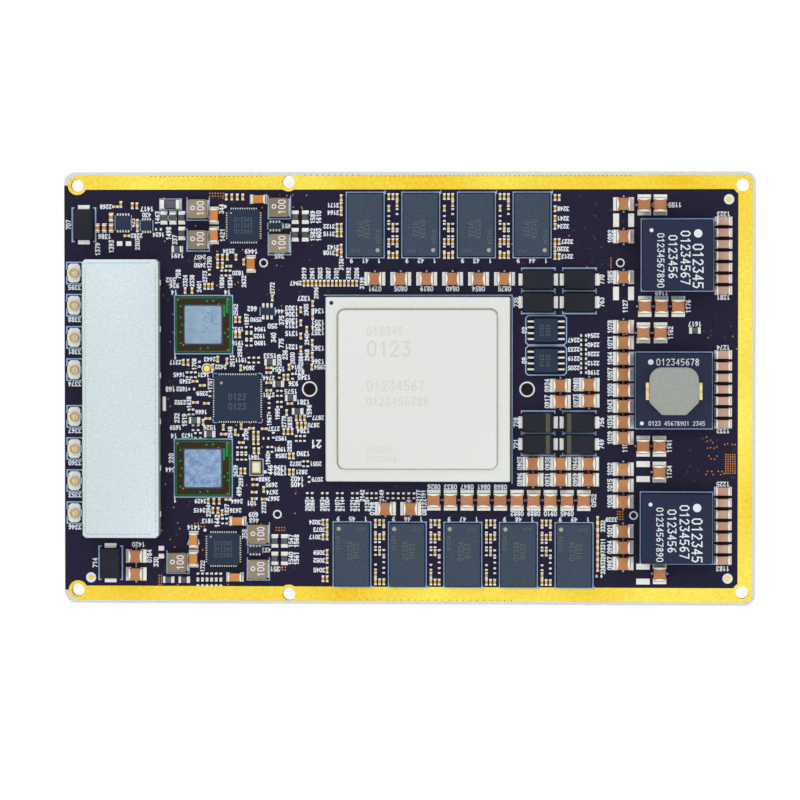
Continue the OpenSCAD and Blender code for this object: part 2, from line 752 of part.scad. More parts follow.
module balun_chips() {
  color("#d8d2c4")
    for (i = [0 : 7])
      translate([can_place[0] + can_w / 5, can_place[1] + (i - 3.5) * can_l / 9, 0])
        mid_box(2, 1.25, 0.95, top_z);
}

module at_coax() {
  for (y = rf_rows, i = [0 : 3])
    translate([rf_x, y - i * rf_pitch, 0])
      children();
}

module coax_bases() {
  color("#f6efe0")
    at_coax() {
      chamfer_box(rf_w, rf_l, rf_t, top_z, 0.5);
      mid_box(rf_w + 2 * rf_ear, 1.5, rf_t * 0.5, top_z);
    }
}

module coax_shells() {
  color("#e6c88a")
    at_coax()
      translate([0, 0, top_z + rf_t])
        difference() {
          cylinder(d = rf_shell_d, h = rf_shell_t);
          translate([0, 0, -1])
            cylinder(d = rf_shell_d - 2 * rf_wall, h = rf_shell_t + 2);
        }
}

module coax_pins() {
  color("#e8a21a")
    at_coax()
      translate([0, 0, top_z + rf_t])
        cylinder(d = rf_pin_d, h = rf_shell_t * 0.7);
}

module chip_body(l, w, t, z, share = band_share) {
  mid_box(l * (1 - 2 * share), w, t, z);
}

module chip_ends(l, w, t, z, share = band_share) {
  band = l * share;
  for (s = [-1, 1])
    translate([s * (l - band) / 2, 0, 0])
      mid_box(band, w + 2 * band_out, t + band_out, z);
}

module capacitor_bodies() {
  color("#b97e4e") {
    at(cap_h)
      chip_body(cap_l, cap_w, cap_t, land_z);
    turned(cap_v)
      chip_body(cap_l, cap_w, cap_t, land_z);
  }
}

module edge_capacitor_bodies() {
  color("#c28e68")
    at(edge_cap_h)
      chip_body(mid_cap_l, mid_cap_w, mid_cap_t, land_z, slim_share);
}

module filter_capacitor_bodies() {
  color("#dd9a5c") {
    at(filter_cap_h)
      chip_body(mid_cap_l, mid_cap_w, mid_cap_t, land_z, slim_share);
    turned(filter_cap_v)
      chip_body(mid_cap_l, mid_cap_w, mid_cap_t, land_z, slim_share);
    turned(half_cap_v)
      chip_body(half_cap_l, half_cap_w, half_cap_w, land_z);
  }
}

module capacitor_terminals() {
  color("#f4f2e6") {
    at(cap_h)
      chip_ends(cap_l, cap_w, cap_t, land_z);
    turned(cap_v)
      chip_ends(cap_l, cap_w, cap_t, land_z);
    at(edge_cap_h)
      chip_ends(mid_cap_l, mid_cap_w, mid_cap_t, land_z, slim_share);
    at(filter_cap_h)
      chip_ends(mid_cap_l, mid_cap_w, mid_cap_t, land_z, slim_share);
    turned(filter_cap_v)
      chip_ends(mid_cap_l, mid_cap_w, mid_cap_t, land_z, slim_share);
    turned(half_cap_v)
      chip_ends(half_cap_l, half_cap_w, half_cap_w, land_z);
  }
}

module grey_chip_bodies() {
  color("#55565c") {
    at(bead_h)
      chip_body(bead_l, bead_w, bead_t, land_z);
    turned(bead_v)
      chip_body(bead_l, bead_w, bead_t, land_z);
    at(tall_bead_h)
      chip_body(bead_l * 2, bead_w * 1.35, bead_t * 1.5, land_z);
  }
}

module grey_chip_terminals() {
  color("#f4f2e6") {
    at(bead_h)
      chip_ends(bead_l, bead_w, bead_t, land_z);
    turned(bead_v)
      chip_ends(bead_l, bead_w, bead_t, land_z);
    at(tall_bead_h)
      chip_ends(bead_l * 2, bead_w * 1.35, bead_t * 1.5, land_z);
  }
}

// Side view of a moulded block that draws in above its parting line
module draft_view(l, t, draft) {
  part = t * 0.45;
  polygon([[-l / 2, 0], [l / 2, 0], [l / 2, part], [l / 2 - draft, t], [draft - l / 2, t], [-l / 2, part]]);
}

module tantalum_body() {
  l = tant_l - 2 * tant_lead_t;
  translate([0, 0, land_z])
    intersection() {
      translate([0, tant_w / 2, 0])
        rotate([90, 0, 0])
          linear_extrude(tant_w)
            draft_view(l, tant_t, tant_draft);
      translate([-l / 2, 0, 0])
        rotate([90, 0, 90])
          linear_extrude(l)
            draft_view(tant_w, tant_t, tant_draft);
    }
}

module tantalum_ends() {
  for (s = [-1, 1])
    translate([s * (tant_l - tant_lead_t) / 2, 0, 0])
      mid_box(tant_lead_t, tant_w * 0.56, tant_t * 0.45, land_z);
}

module tantalum_bodies() {
  color("#1d1b1d") {
    at(tant_h)
      tantalum_body();
    turned(tant_v)
      tantalum_body();
  }
}

module tantalum_terminals() {
  color("#eceae0") {
    at(tant_h)
      tantalum_ends();
    turned(tant_v)
      tantalum_ends();
  }
}

module inductor_bodies() {
  color("#a08c74")
    at(coils)
      chamfer_box(coil_w, coil_w, coil_t, land_z, 0.3);
}

module inductor_terminals() {
  color("#eceae0")
    at(coils)
      for (s = [-1, 1])
        translate([s * (coil_w + coil_lead_t) / 2, 0, 0])
          mid_box(coil_lead_t, coil_w * 0.7, coil_t * 0.35, land_z);
}

module memory_gaps(offsets_top, offsets_bottom) {
  for (row = [0, 1])
    for (i = [0 : mem_rows[row][2] - 2], p = row == 0 ? offsets_top : offsets_bottom)
      translate([mem_rows[row][0] + (i + 0.5) * mem_pitch + p[0], mem_rows[row][1] + p[1], 0])
        rotate([0, 0, 90])
          children();
}

module under_processor() {
  for (i = [0 : under_n - 1], j = [0 : under_n - 1])
    translate([
      proc_x + (i - (under_n - 1) / 2) * under_pitch,
      proc_y + (j - (under_n - 1) / 2) * under_pitch,
      under_z - film_t
    ])
      rotate([180, 0, 90])
        children();
}

module small_capacitors() {
  color("#d9a93c") {
    under_processor()
      chip_body(chip_l, chip_w, chip_t, 0);
    at(chip_cap_h)
      chip_body(chip_l, chip_w, chip_t, top_z);
    turned(chip_cap_v)
      chip_body(chip_l, chip_w, chip_t, top_z);
    turned(side_rows)
      chip_body(chip_l, chip_w, chip_t, top_z);
    memory_gaps(gap_cap_top, gap_cap_bottom)
      chip_body(chip_l, chip_w, chip_t, top_z);
  }
}

module small_resistors() {
  color("#1e1c22") {
    at(chip_res_h)
      chip_body(chip_l, chip_w, chip_t, top_z);
    turned(chip_res_v)
      chip_body(chip_l, chip_w, chip_t, top_z);
    memory_gaps(gap_res_top, gap_res_bottom)
      chip_body(chip_l, chip_w, chip_t, top_z);
  }
}

module small_terminals() {
  color("#f4f2e6") {
    under_processor()
      chip_ends(chip_l, chip_w, chip_t, 0);
    at(chip_cap_h)
      chip_ends(chip_l, chip_w, chip_t, top_z);
    at(chip_res_h)
      chip_ends(chip_l, chip_w, chip_t, top_z);
    turned(chip_cap_v)
      chip_ends(chip_l, chip_w, chip_t, top_z);
    turned(chip_res_v)
      chip_ends(chip_l, chip_w, chip_t, top_z);
    turned(side_rows)
      chip_ends(chip_l, chip_w, chip_t, top_z);
    memory_gaps(gap_cap_top, gap_cap_bottom)
      chip_ends(chip_l, chip_w, chip_t, top_z);
    memory_gaps(gap_res_top, gap_res_bottom)
      chip_ends(chip_l, chip_w, chip_t, top_z);
  }
}

// Small packages: place X, Y, length along X, width along Y, leads on a side and how far they reach
small_ics = [[-62.1, 35.9, 3, 3.1, 5, 0.5], [-57, 35.3, 2.2, 2.2, 4, 0.5], [-30.65, 16.7, 2.7, 1.6, 3, 0.95],
  [-29, 35.2, 2.6, 1.3, 4, 0.5], [-33.4, -35.2, 2.6, 1.3, 4, 0.5]];

module small_packages() {
  color("#2a3240")
    for (p = small_ics)
      translate([p[0], p[1], 0])
        mid_box(p[2], p[3], qfn_t, top_z);
}

module small_package_leads() {
  color("#f0f2f0")
    for (p = small_ics, s = [-1, 1], i = [0 : p[4] - 1])
      translate([p[0] + (i - (p[4] - 1) / 2) * p[2] / p[4], p[1] + s * (p[3] + p[5]) / 2, 0])
        mid_box(p[2] / p[4] * 0.55, p[5], qfn_t * 0.3, top_z);
}

module oscillator() {
  color("#e8e2cc")
    translate([-33.1, -17.2, 0]) {
      mid_box(2, 2.6, 0.6, top_z);
      mid_box(1.7, 2.3, 0.8, top_z);
    }
}

// Socket open downwards, with two pegs into the board
module carrier_connector(i) {
  color("#1c1c20")
    translate(conn_places[i]) {
      difference() {
        mid_box(conn_l, conn_w, conn_t - film_t, 0);
        mid_box(conn_l - 2 * conn_wall, conn_w - 2 * conn_wall, conn_t - conn_floor, -film_t);
      }
      for (s = [-1, 1])
        translate([s * peg_pitch / 2, 0, conn_t - conn_floor / 2])
          cylinder(d = peg_d, h = conn_floor / 2 + board_t * 0.7);
    }
}

module carrier_contacts() {
  n = 36;
  root_z = conn_t - conn_floor - film_t;
  long = root_z * 0.8;
  color("#d8b45a")
    for (p = conn_places, k = [-1.5 : 1.5], j = [0 : n - 1])
      translate([p[0] + (j - (n - 1) / 2) * contact_pitch, p[1] + k * conn_w / 5.5, 0])
        mid_box(0.5, 0.9, long, root_z - long);
}

circuit_board();
solder_mask();
ground_strip();
hole_rings();
solder_pads();
gold_discs();
processor_substrate();
processor_die();
processor_lid();
transceiver_substrate(0);  // upper_transceiver_substrate
transceiver_die(0);  // upper_transceiver_die
transceiver_substrate(1);  // lower_transceiver_substrate
transceiver_die(1);  // lower_transceiver_die
clock_chip();
clock_chip_leads();
supply_controller(0);  // upper_supply_controller
supply_controller(1);  // lower_supply_controller
supply_controller_leads();
memory_chip(0, 0);  // memory_top_1
memory_chip(0, 1);  // memory_top_2
memory_chip(0, 2);  // memory_top_3
memory_chip(0, 3);  // memory_top_4
memory_chip(1, 0);  // memory_bottom_1
memory_chip(1, 1);  // memory_bottom_2
memory_chip(1, 2);  // memory_bottom_3
memory_chip(1, 3);  // memory_bottom_4
memory_chip(1, 4);  // memory_bottom_5
power_module(0);  // upper_power_module
core_power_module();
power_module(1);  // lower_power_module
core_inductor();
core_inductor_tabs();
flash_chip(0);  // flash_chip_1
flash_chip(1);  // flash_chip_2
flash_leads();
shield_frame();
shield_lid();
balun_chips();
coax_bases();
coax_shells();
coax_pins();
capacitor_bodies();
edge_capacitor_bodies();
filter_capacitor_bodies();
capacitor_terminals();
grey_chip_bodies();
grey_chip_terminals();
tantalum_bodies();
tantalum_terminals();
inductor_bodies();
inductor_terminals();
small_capacitors();
small_resistors();
small_terminals();
small_packages();
small_package_leads();
oscillator();
carrier_connector(0);  // upper_carrier_connector
carrier_connector(1);  // lower_carrier_connector
carrier_contacts();
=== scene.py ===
"""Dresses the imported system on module: finishes, softened edges, solder, silkscreen and the studio stage."""

import functools
import math
import random

import bmesh
import bpy
from mathutils import Matrix, Vector, kdtree


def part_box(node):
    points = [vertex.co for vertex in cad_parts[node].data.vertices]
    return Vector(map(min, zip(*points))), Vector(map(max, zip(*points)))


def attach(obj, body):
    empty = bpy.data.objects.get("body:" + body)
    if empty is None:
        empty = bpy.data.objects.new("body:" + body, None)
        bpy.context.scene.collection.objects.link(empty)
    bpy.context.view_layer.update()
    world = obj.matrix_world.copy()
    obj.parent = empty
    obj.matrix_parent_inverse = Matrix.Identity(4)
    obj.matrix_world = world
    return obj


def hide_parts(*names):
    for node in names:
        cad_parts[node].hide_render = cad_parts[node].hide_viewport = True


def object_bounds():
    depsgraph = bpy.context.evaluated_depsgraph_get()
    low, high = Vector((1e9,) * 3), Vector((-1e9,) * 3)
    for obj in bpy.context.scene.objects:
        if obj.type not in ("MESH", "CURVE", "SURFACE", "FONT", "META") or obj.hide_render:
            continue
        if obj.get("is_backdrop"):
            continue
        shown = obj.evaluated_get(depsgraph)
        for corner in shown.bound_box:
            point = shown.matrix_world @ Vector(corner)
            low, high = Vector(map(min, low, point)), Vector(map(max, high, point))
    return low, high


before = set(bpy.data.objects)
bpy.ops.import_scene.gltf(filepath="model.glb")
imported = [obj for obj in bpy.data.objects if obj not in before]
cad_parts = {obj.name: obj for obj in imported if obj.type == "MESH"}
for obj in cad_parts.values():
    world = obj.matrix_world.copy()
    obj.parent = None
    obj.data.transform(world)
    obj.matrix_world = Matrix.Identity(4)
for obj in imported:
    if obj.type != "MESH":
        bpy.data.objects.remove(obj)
cad_low, cad_high = (corner.copy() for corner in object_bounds())

bl_info = {
    "name": "System on module",
    "version": (1, 0, 0),
    "blender": (4, 5, 0),
    "location": "View3D > Sidebar > Module",
    "description": "Finishes, solder and silkscreen for a computer module's board",
    "category": "Add Mesh",
}

MM = 0.001
WELD = 1e-7
# Faces within the first angle are one flat face, edges past the second are rounded, and past the third look sharp
FLAT_ANGLE, ROUNDED_ANGLE, SHARP_ANGLE = math.radians(1), math.radians(30), math.radians(35)
# Vertices that a batch of marks may hold before it is put with the rest
BATCH_VERTS = 500
IMAGE_SIDE = 800
# Where a material's noise reaches its dark and its light tone, and how much of it is the difference between batches
TONE_STOPS = (0.3, 0.7)
BATCH_SHARE = 0.55

# Millimetres of the board that one pixel of the photograph covers, and the image's middle on the board
MM_PER_PIXEL = 0.2168
VIEW_MIDDLE = (-1.85, -2.51)

MEMORY = ["memory_top_%d" % n for n in range(1, 5)] + ["memory_bottom_%d" % n for n in range(1, 6)]
SUPPLY = ["upper_supply_controller", "lower_supply_controller"]
MODULES = ["upper_power_module", "core_power_module", "lower_power_module"]
CONNECTORS = ["upper_carrier_connector", "lower_carrier_connector"]
TRANSCEIVERS = ["upper_transceiver", "lower_transceiver"]
SUBSTRATES = [name + "_substrate" for name in TRANSCEIVERS]
FLASH = ["flash_chip_1", "flash_chip_2"]
# Screw holes: X, Y and diameter in millimetres
HOLES = [(x, y, 2.8) for x, y in ((-72.15, 44), (72.15, 44), (-72.15, -44), (72.15, -44), (-26.05, 44.75),
                                  (-26.05, -44.75))] + [(-21.5, -0.15, 2.74), (25.7, -0.15, 2.74)]
# The recess at the lid's first pin: distance from the lid's edges, diameter and depth in millimetres
PIN_RECESS = (1.3, 0.9, 0.3)
# What the silkscreen's numbers keep clear of
PRINT_OBSTACLES = MEMORY + SUPPLY + MODULES + FLASH + SUBSTRATES + [
    "processor_lid", "clock_chip", "shield_lid", "coax_bases", "solder_pads", "hole_rings", "gold_discs",
    "flash_leads", "small_terminals", "small_packages", "small_package_leads", "oscillator", "clock_chip_leads",
    "supply_controller_leads", "tantalum_bodies", "inductor_bodies", "tantalum_terminals", "capacitor_terminals",
    "inductor_terminals",
]
# How much further they keep clear of some of them, in mm
PRINT_RIMS = {"small_terminals": 0.12, "tantalum_bodies": 0.55}

# From one figure to the next, and the gap after the last, as shares of a figure's height
FIGURE_STEP, FIGURE_GAP = 0.8, 0.3
# How far a capacitor's plating bows inwards, as a share of its length, and how much of it is cut back at the corners
END_BOW = 0.42
END_CUT = 0.5
# How far the next stroke lies above the last, as a share of the ink's thickness
LAYER = 1 / 8
# Strokes of the digits 0 to 9 in a box one unit wide and two high, each a run of points
DIGITS = [
    [((0, 0.4), (0.35, 0), (0.65, 0), (1, 0.4), (1, 1.6), (0.65, 2), (0.35, 2), (0, 1.6), (0, 0.4))],
    [((0.2, 1.6), (0.6, 2), (0.6, 0))],
    [((0, 1.6), (0.35, 2), (0.8, 1.9), (1, 1.4), (0, 0), (1, 0))],
    [((0, 2), (1, 2), (0.5, 1.2), (1, 0.8), (0.8, 0.1), (0.3, 0), (0, 0.3))],
    [((0.75, 0), (0.75, 2), (0, 0.6), (1, 0.6))],
    [((1, 2), (0.1, 2), (0, 1.1), (0.7, 1.2), (1, 0.7), (0.7, 0), (0, 0.1))],
    [((0.9, 2), (0.3, 1.7), (0, 0.7), (0.35, 0), (0.8, 0.1), (1, 0.6), (0.7, 1.1), (0, 0.8))],
    [((0, 2), (1, 2), (0.35, 0))],
    [((0.5, 1.05), (0, 1.5), (0.3, 2), (0.7, 2), (1, 1.5), (0, 0.6), (0.2, 0), (0.8, 0), (1, 0.5), (0.5, 1.05))],
    [((0.1, 0), (0.7, 0.3), (1, 1.3), (0.65, 2), (0.2, 1.9), (0, 1.4), (0.3, 0.9), (1, 1.2))],
]


def linear(code):
    """An sRGB hex code as linear RGBA."""
    parts = [int(code[i:i + 2], 16) / 255 for i in (1, 3, 5)]
    return [p / 12.92 if p <= 0.04045 else ((p + 0.055) / 1.055) ** 2.4 for p in parts] + [1.0]


class ModuleEdges(bpy.types.PropertyGroup):
    """How far the edges of the parts are softened."""

    lid: bpy.props.FloatProperty(
        name="Lid edge", description="Rounding of the stamped processor lid", default=0.38 * MM, unit="LENGTH")
    can: bpy.props.FloatProperty(
        name="Can edge", description="Rounding of the shield can's bent edges", default=0.3 * MM, unit="LENGTH")
    package: bpy.props.FloatProperty(
        name="Package edge", description="Rounding of moulded chip packages", default=0.08 * MM, unit="LENGTH")
    terminal: bpy.props.FloatProperty(
        name="Terminal edge", description="Rounding of dipped capacitor ends", default=0.15 * MM, unit="LENGTH")
    ceramic: bpy.props.FloatProperty(
        name="Ceramic edge", description="Rounding of fired ceramic bodies", default=0.1 * MM, unit="LENGTH")
    small: bpy.props.FloatProperty(
        name="Small chip edge", description="Rounding of the smallest chips", default=0.05 * MM, unit="LENGTH")


class ModulePrint(bpy.types.PropertyGroup):
    """Sizes of the printed marks."""

    line: bpy.props.FloatProperty(
        name="Line width", description="Width of the silkscreen's outlines", default=0.22 * MM, unit="LENGTH")
    ink: bpy.props.FloatProperty(
        name="Ink thickness", description="Thickness of the printed ink", default=0.012 * MM, unit="LENGTH")
    digit: bpy.props.FloatProperty(
        name="Digit height", description="Height of a printed number", default=0.9 * MM, unit="LENGTH")
    via: bpy.props.FloatProperty(
        name="Via size", description="Diameter of a via's bare copper", default=0.34 * MM, unit="LENGTH")
    seed: bpy.props.IntProperty(name="Seed", description="Order of the scattered vias", default=7)


class ModuleColours(bpy.types.PropertyGroup):
    """The darker and the lighter tone of the finishes that differ most from one module to the next."""

    mask_dark: bpy.props.FloatVectorProperty(
        name="Solder mask, dark", description="Darker tone of the solder mask", size=4, min=0, max=1,
        default=linear("#18152a"), subtype="COLOR")
    mask_light: bpy.props.FloatVectorProperty(
        name="Solder mask, light", description="Lighter tone of the solder mask", size=4, min=0, max=1,
        default=linear("#27233f"), subtype="COLOR")
    gold_dark: bpy.props.FloatVectorProperty(
        name="Gold plating, dark", description="Darker tone of the gold plating", size=4, min=0, max=1,
        default=linear("#efbe06"), subtype="COLOR")
    gold_light: bpy.props.FloatVectorProperty(
        name="Gold plating, light", description="Lighter tone of the gold plating", size=4, min=0, max=1,
        default=linear("#fff46e"), subtype="COLOR")
    ink_dark: bpy.props.FloatVectorProperty(
        name="Printed numbers, dark", description="Darker tone of the printed numbers", size=4, min=0, max=1,
        default=linear("#e4f0fe"), subtype="COLOR")
    ink_light: bpy.props.FloatVectorProperty(
        name="Printed numbers, light", description="Lighter tone of the printed numbers", size=4, min=0, max=1,
        default=linear("#fafdff"), subtype="COLOR")
    brown_dark: bpy.props.FloatVectorProperty(
        name="Brown ceramic, dark", description="Darker tone of the brown ceramic", size=4, min=0, max=1,
        default=linear("#a86d46"), subtype="COLOR")
    brown_light: bpy.props.FloatVectorProperty(
        name="Brown ceramic, light", description="Lighter tone of the brown ceramic", size=4, min=0, max=1,
        default=linear("#cc9162"), subtype="COLOR")


class ModuleStage(bpy.types.PropertyGroup):
    """Camera and light."""

    distance: bpy.props.FloatProperty(
        name="Camera height", description="Camera height above the board", default=0.9, unit="LENGTH")
    stand: bpy.props.FloatVectorProperty(
        name="Camera place", description="Point of the board that the camera stands over", size=2,
        default=(50 * MM, 25 * MM), unit="LENGTH")
    softbox: bpy.props.FloatProperty(
        name="Softbox power", description="Power of each side softbox", default=2.6, subtype="POWER")
    fill: bpy.props.FloatProperty(
        name="Room light", description="Brightness of the white room", default=0.71)


def add_node(tree, kind, settings=None, links=None):
    """Adds a node, sets its properties or sockets, and links sockets from (node, output)."""
    node = tree.nodes.new(kind)
    for key, value in (settings or {}).items():
        if isinstance(key, str) and hasattr(node, key):
            setattr(node, key, value)
        else:
            node.inputs[key].default_value = value
    for key, (source, output) in (links or {}).items():
        tree.links.new(source.outputs[output], node.inputs[key])
    return node


def speckled(name, colours, grain, rough, metallic=0.0, bump=0.0, gloss=0.2, batch=None):
    """A surface whose colour runs between two tones, hex codes or linear, at a grain in millimetres, with a bump of
    the same grain. gloss is how strongly it mirrors the room, and batch is a second, wider grain that sets one part
    apart from the next."""
    made = bpy.data.materials.new(name)
    made.use_nodes = True
    tree = made.node_tree
    surface = tree.nodes["Principled BSDF"]
    for socket, value in (("Roughness", rough), ("Metallic", metallic), ("Specular IOR Level", gloss)):
        surface.inputs[socket].default_value = value
    place = add_node(tree, "ShaderNodeTexCoord")
    fine = add_node(tree, "ShaderNodeTexNoise", {"Scale": 1 / (grain * MM), "Detail": 4.0, "Roughness": 0.6},
                    {"Vector": (place, "Object")})
    tone = fine
    if batch:
        wide = add_node(tree, "ShaderNodeTexNoise", {"Scale": 1 / (batch * MM), "Detail": 1.0},
                        {"Vector": (place, "Object")})
        tone = add_node(tree, "ShaderNodeMix", {"Factor": BATCH_SHARE}, {2: (fine, "Fac"), 3: (wide, "Fac")})
    ramp = add_node(tree, "ShaderNodeValToRGB", {}, {"Fac": (tone, 0)})
    for stop, position, colour in zip(ramp.color_ramp.elements, TONE_STOPS, colours):
        stop.position = position
        stop.color = linear(colour) if isinstance(colour, str) else colour
    tree.links.new(ramp.outputs["Color"], surface.inputs["Base Color"])
    if bump:
        relief = add_node(tree, "ShaderNodeBump", {"Strength": 0.5, "Distance": bump * MM}, {"Height": (fine, "Fac")})
        tree.links.new(relief.outputs["Normal"], surface.inputs["Normal"])
    return made


def finishes():
    """Every material, by the name that the operators use. Grains that are finer than a pixel, such as the filler of
    a resin or the crystals of a plating, are drawn at 0.2 to 0.8 mm, so that they show."""
    tone = bpy.context.scene.module_colours
    return {
        # Routed glass-epoxy edge: milky and dull
        "laminate": speckled("Glass-epoxy laminate, routed", ("#d3dbe0", "#e6ecee"), 0.4, 0.6, bump=0.02),
        # Cured solder mask: near black with a violet cast, the weave showing faintly
        "mask": speckled("Solder mask, cured", (tone.mask_dark, tone.mask_light), 0.5, 0.5, bump=0.012, gloss=0.12),
        # The same mask stretched over a via: thinner, so a faint paler ring
        "tent": speckled("Solder mask, drawn over a via", ("#322f40", "#454257"), 0.3, 0.4, gloss=0.3),
        # Immersion gold over nickel: warm yellow metal, finely grained
        "gold": speckled("Immersion gold, plated", (tone.gold_dark, tone.gold_light), 0.7, 0.42, metallic=0.7,
                         bump=0.02, batch=22),
        # Reflowed tin: bright, slightly rippled
        "tin": speckled("Tin solder, reflowed", ("#e6e7e2", "#fdfdf8"), 0.35, 0.38, metallic=0.35, bump=0.03),
        # Painted shade: a dull grey line on the outward rounded faces of a plated end
        "end_shade": speckled("Tin solder, painted end shade", ("#565a52", "#7c8076"), 0.3, 0.5, metallic=0.2, bump=0.02),
        # Nickel-plated stamped copper: warm white satin
        "nickel": speckled("Nickel plate, satin", ("#e1e3e0", "#eaece9"), 0.35, 0.45, metallic=0.3, bump=0.01),
        # Painted shade: the same plate with a tan line in the hollow at the foot of the lid's step
        "groove": speckled("Nickel plate, painted shade at the step", ("#a0957a", "#bcb292"), 0.5, 0.5, metallic=0.2),
        # Tin-plated steel sheet: cool white, dull
        "sheet": speckled("Tin-plated steel, rolled", ("#c8d7dd", "#e2edf1"), 0.4, 0.45, metallic=0.3, bump=0.015),
        # Painted shade: the upright walls of the same sheet, an olive grey darker than its top
        "wall": speckled("Tin-plated steel, painted wall shade", ("#939688", "#b7baac"), 0.4, 0.5, metallic=0.2, bump=0.01),
        # Painted shade: the pits that a punch pressed into the same sheet, as small blue-grey dots
        "pit_shade": speckled("Tin-plated steel, painted pit shade", ("#93a6b6", "#abbbc8"), 0.3, 0.6),
        # Moulding compound: matt resin with a fine filler speckle
        "memory": speckled("Epoxy moulding compound, blue-grey", ("#334052", "#465466"), 0.28, 0.6, bump=0.015),
        "compound": speckled("Epoxy moulding compound, slate", ("#1d2a3b", "#2a3954"), 0.28, 0.55, bump=0.015),
        "module": speckled("Epoxy moulding compound, navy", ("#1a2340", "#252e4a"), 0.3, 0.55, bump=0.012),
        "tantalum": speckled("Epoxy moulding compound, black", ("#12141c", "#1e2230"), 0.4, 0.5, bump=0.015, batch=6),
        # Organic package substrate: green mask over glass cloth, and dark mask over copper inside its rim
        "substrate": speckled("Package substrate, green mask", ("#0b5e2e", "#117a3e"), 0.4, 0.4, bump=0.01),
        "mask_dot": speckled("Package mask over copper, bright green", ("#0f8244", "#1fa85c"), 0.3, 0.4),
        "field": speckled("Package substrate, dark mask", ("#241706", "#3c2a10"), 0.35, 0.45, bump=0.01),
        # Thinned silicon back: pale blue-grey with cleaning stains
        "silicon": speckled("Silicon, ground back", ("#86a4bf", "#a3bdd3"), 0.5, 0.35, bump=0.008, batch=2.2),
        "stained": speckled("Silicon, ground back with residue", ("#4f7fbe", "#b4c8da"), 0.6, 0.35, bump=0.01,
                            batch=1.4),
        # Flux left after cleaning: dark dry specks
        "speck": speckled("Flux residue, dried", ("#28323e", "#4a5866"), 0.2, 0.6),
        # Resin drawn under the die: a dark, slightly shiny slope
        "underfill": speckled("Underfill resin, cured", ("#39434e", "#56626f"), 0.3, 0.35, bump=0.01),
        # Fired dielectric: opaque ceramic, each batch a little apart
        "brown": speckled("Barium titanate ceramic, brown", (tone.brown_dark, tone.brown_light), 0.3, 0.45,
                          bump=0.01, batch=5),
        "tan": speckled("Barium titanate ceramic, tan", ("#c2937a", "#dbb69f"), 0.3, 0.45, bump=0.01, batch=4),
        "orange": speckled("Barium titanate ceramic, orange", ("#c97c38", "#e0a060"), 0.3, 0.45, bump=0.01, batch=5),
        "yellow": speckled("Barium titanate ceramic, honey", ("#c58a2a", "#f0c24a"), 0.4, 0.45, bump=0.01, batch=3),
        # Glazed ferrite: plain dark grey with a soft shine
        "grey": speckled("Ferrite chip, glazed grey", ("#484c55", "#646971"), 0.3, 0.4, bump=0.01, batch=3),
        # Pressed iron powder: brown-grey and gritty
        "coil": speckled("Pressed iron powder, coated", ("#7d6e5e", "#ab9880"), 0.3, 0.6, bump=0.03, batch=11),
        # Sintered and ground ferrite: pale grey, finely pored
        "ferrite": speckled("Sintered ferrite, grey", ("#969b94", "#b2b6ae"), 0.28, 0.6, bump=0.02),
        # Rolled brass: bright pale yellow
        "brass": speckled("Brass strip, bright", ("#dcb45a", "#fff0c4"), 0.8, 0.3, metallic=0.8, bump=0.01),
        # Thin gold on drawn bronze: a browner yellow than the board's gold
        "shell": speckled("Gold plate over bronze, drawn", ("#bd8d30", "#ecc872"), 0.4, 0.35, metallic=0.6, bump=0.01),
        # Injection-moulded polymer: smooth and matt, white in the coaxial bases and black in the carrier's housings
        "cream": speckled("Liquid-crystal polymer, white", ("#eef4f4", "#fdfefc"), 0.4, 0.5, bump=0.01),
        "housing": speckled("Liquid-crystal polymer, black", ("#17171a", "#232327"), 0.4, 0.5, bump=0.015),
        # Gold brazed round a ceramic package: a pale gold rim
        "ceramic_lid": speckled("Gold-rimmed ceramic package", ("#d8b758", "#eed68a"), 0.4, 0.35, metallic=0.6),
        # Screen-printed epoxy ink: matt, faintly blue against the dark mask
        "ink": speckled("Silkscreen ink, cured", (tone.ink_dark, tone.ink_light), 0.3, 0.6),
        "line_ink": speckled("Silkscreen ink, thin line", ("#8fb4e2", "#b4d0f2"), 0.3, 0.6),
        "white_ink": speckled("Marking ink, white", ("#e2eaf2", "#f6f8fa"), 0.3, 0.6),
        "band_ink": speckled("Marking ink, olive", ("#4c4a40", "#625e50"), 0.3, 0.6),
        # Laser marking: burnt resin or dulled plate a shade apart from its ground
        "laser": speckled("Laser-marked resin", ("#4a5660", "#68706c"), 0.2, 0.65),
        "faint": speckled("Laser-marked resin, faint", ("#535d66", "#6f7566"), 0.2, 0.65),
        "etched": speckled("Laser-dulled nickel", ("#d8dad3", "#dfe1da"), 0.3, 0.7, metallic=0.2),
        # Painted sheen: a smooth spot in the mould, coloured pale against the matt resin round it
        "index_sheen": speckled("Moulded index mark, painted sheen", ("#9c9c8a", "#bcbba8"), 0.3, 0.5),
        # Bare copper: orange-brown dots
        "copper": speckled("Via copper, bare", ("#aa662e", "#dd9a56"), 0.4, 0.4, metallic=0.3),
        # Painted shade: the dark mouth of a via in the gold, a brown dot
        "shade": speckled("Via mouth, painted shade", ("#5a4208", "#7a5c10"), 0.3, 0.6),
        # The bottom of a drilled recess: in shade, blue-black
        "drilled": speckled("Drilled recess, dark", ("#1c2a30", "#2c3c42"), 0.3, 0.6),
        # Copper inside a drilled hole: tarnished brown-gold
        "barrel": speckled("Plated hole wall, tarnished", ("#a8742c", "#e8b85c"), 0.3, 0.45, metallic=0.2, bump=0.01),
    }


def welded(node):
    """A copy of a CAD node's mesh whose triangles share their vertices."""
    bm = bmesh.new()
    bm.from_mesh(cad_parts[node].data)
    bmesh.ops.remove_doubles(bm, verts=bm.verts, dist=WELD)
    return bm


def loose_copy(node):
    """A copy of a CAD node's mesh with whole faces instead of triangles."""
    bm = welded(node)
    bmesh.ops.dissolve_limit(bm, angle_limit=FLAT_ANGLE, verts=bm.verts, edges=bm.edges)
    return bm


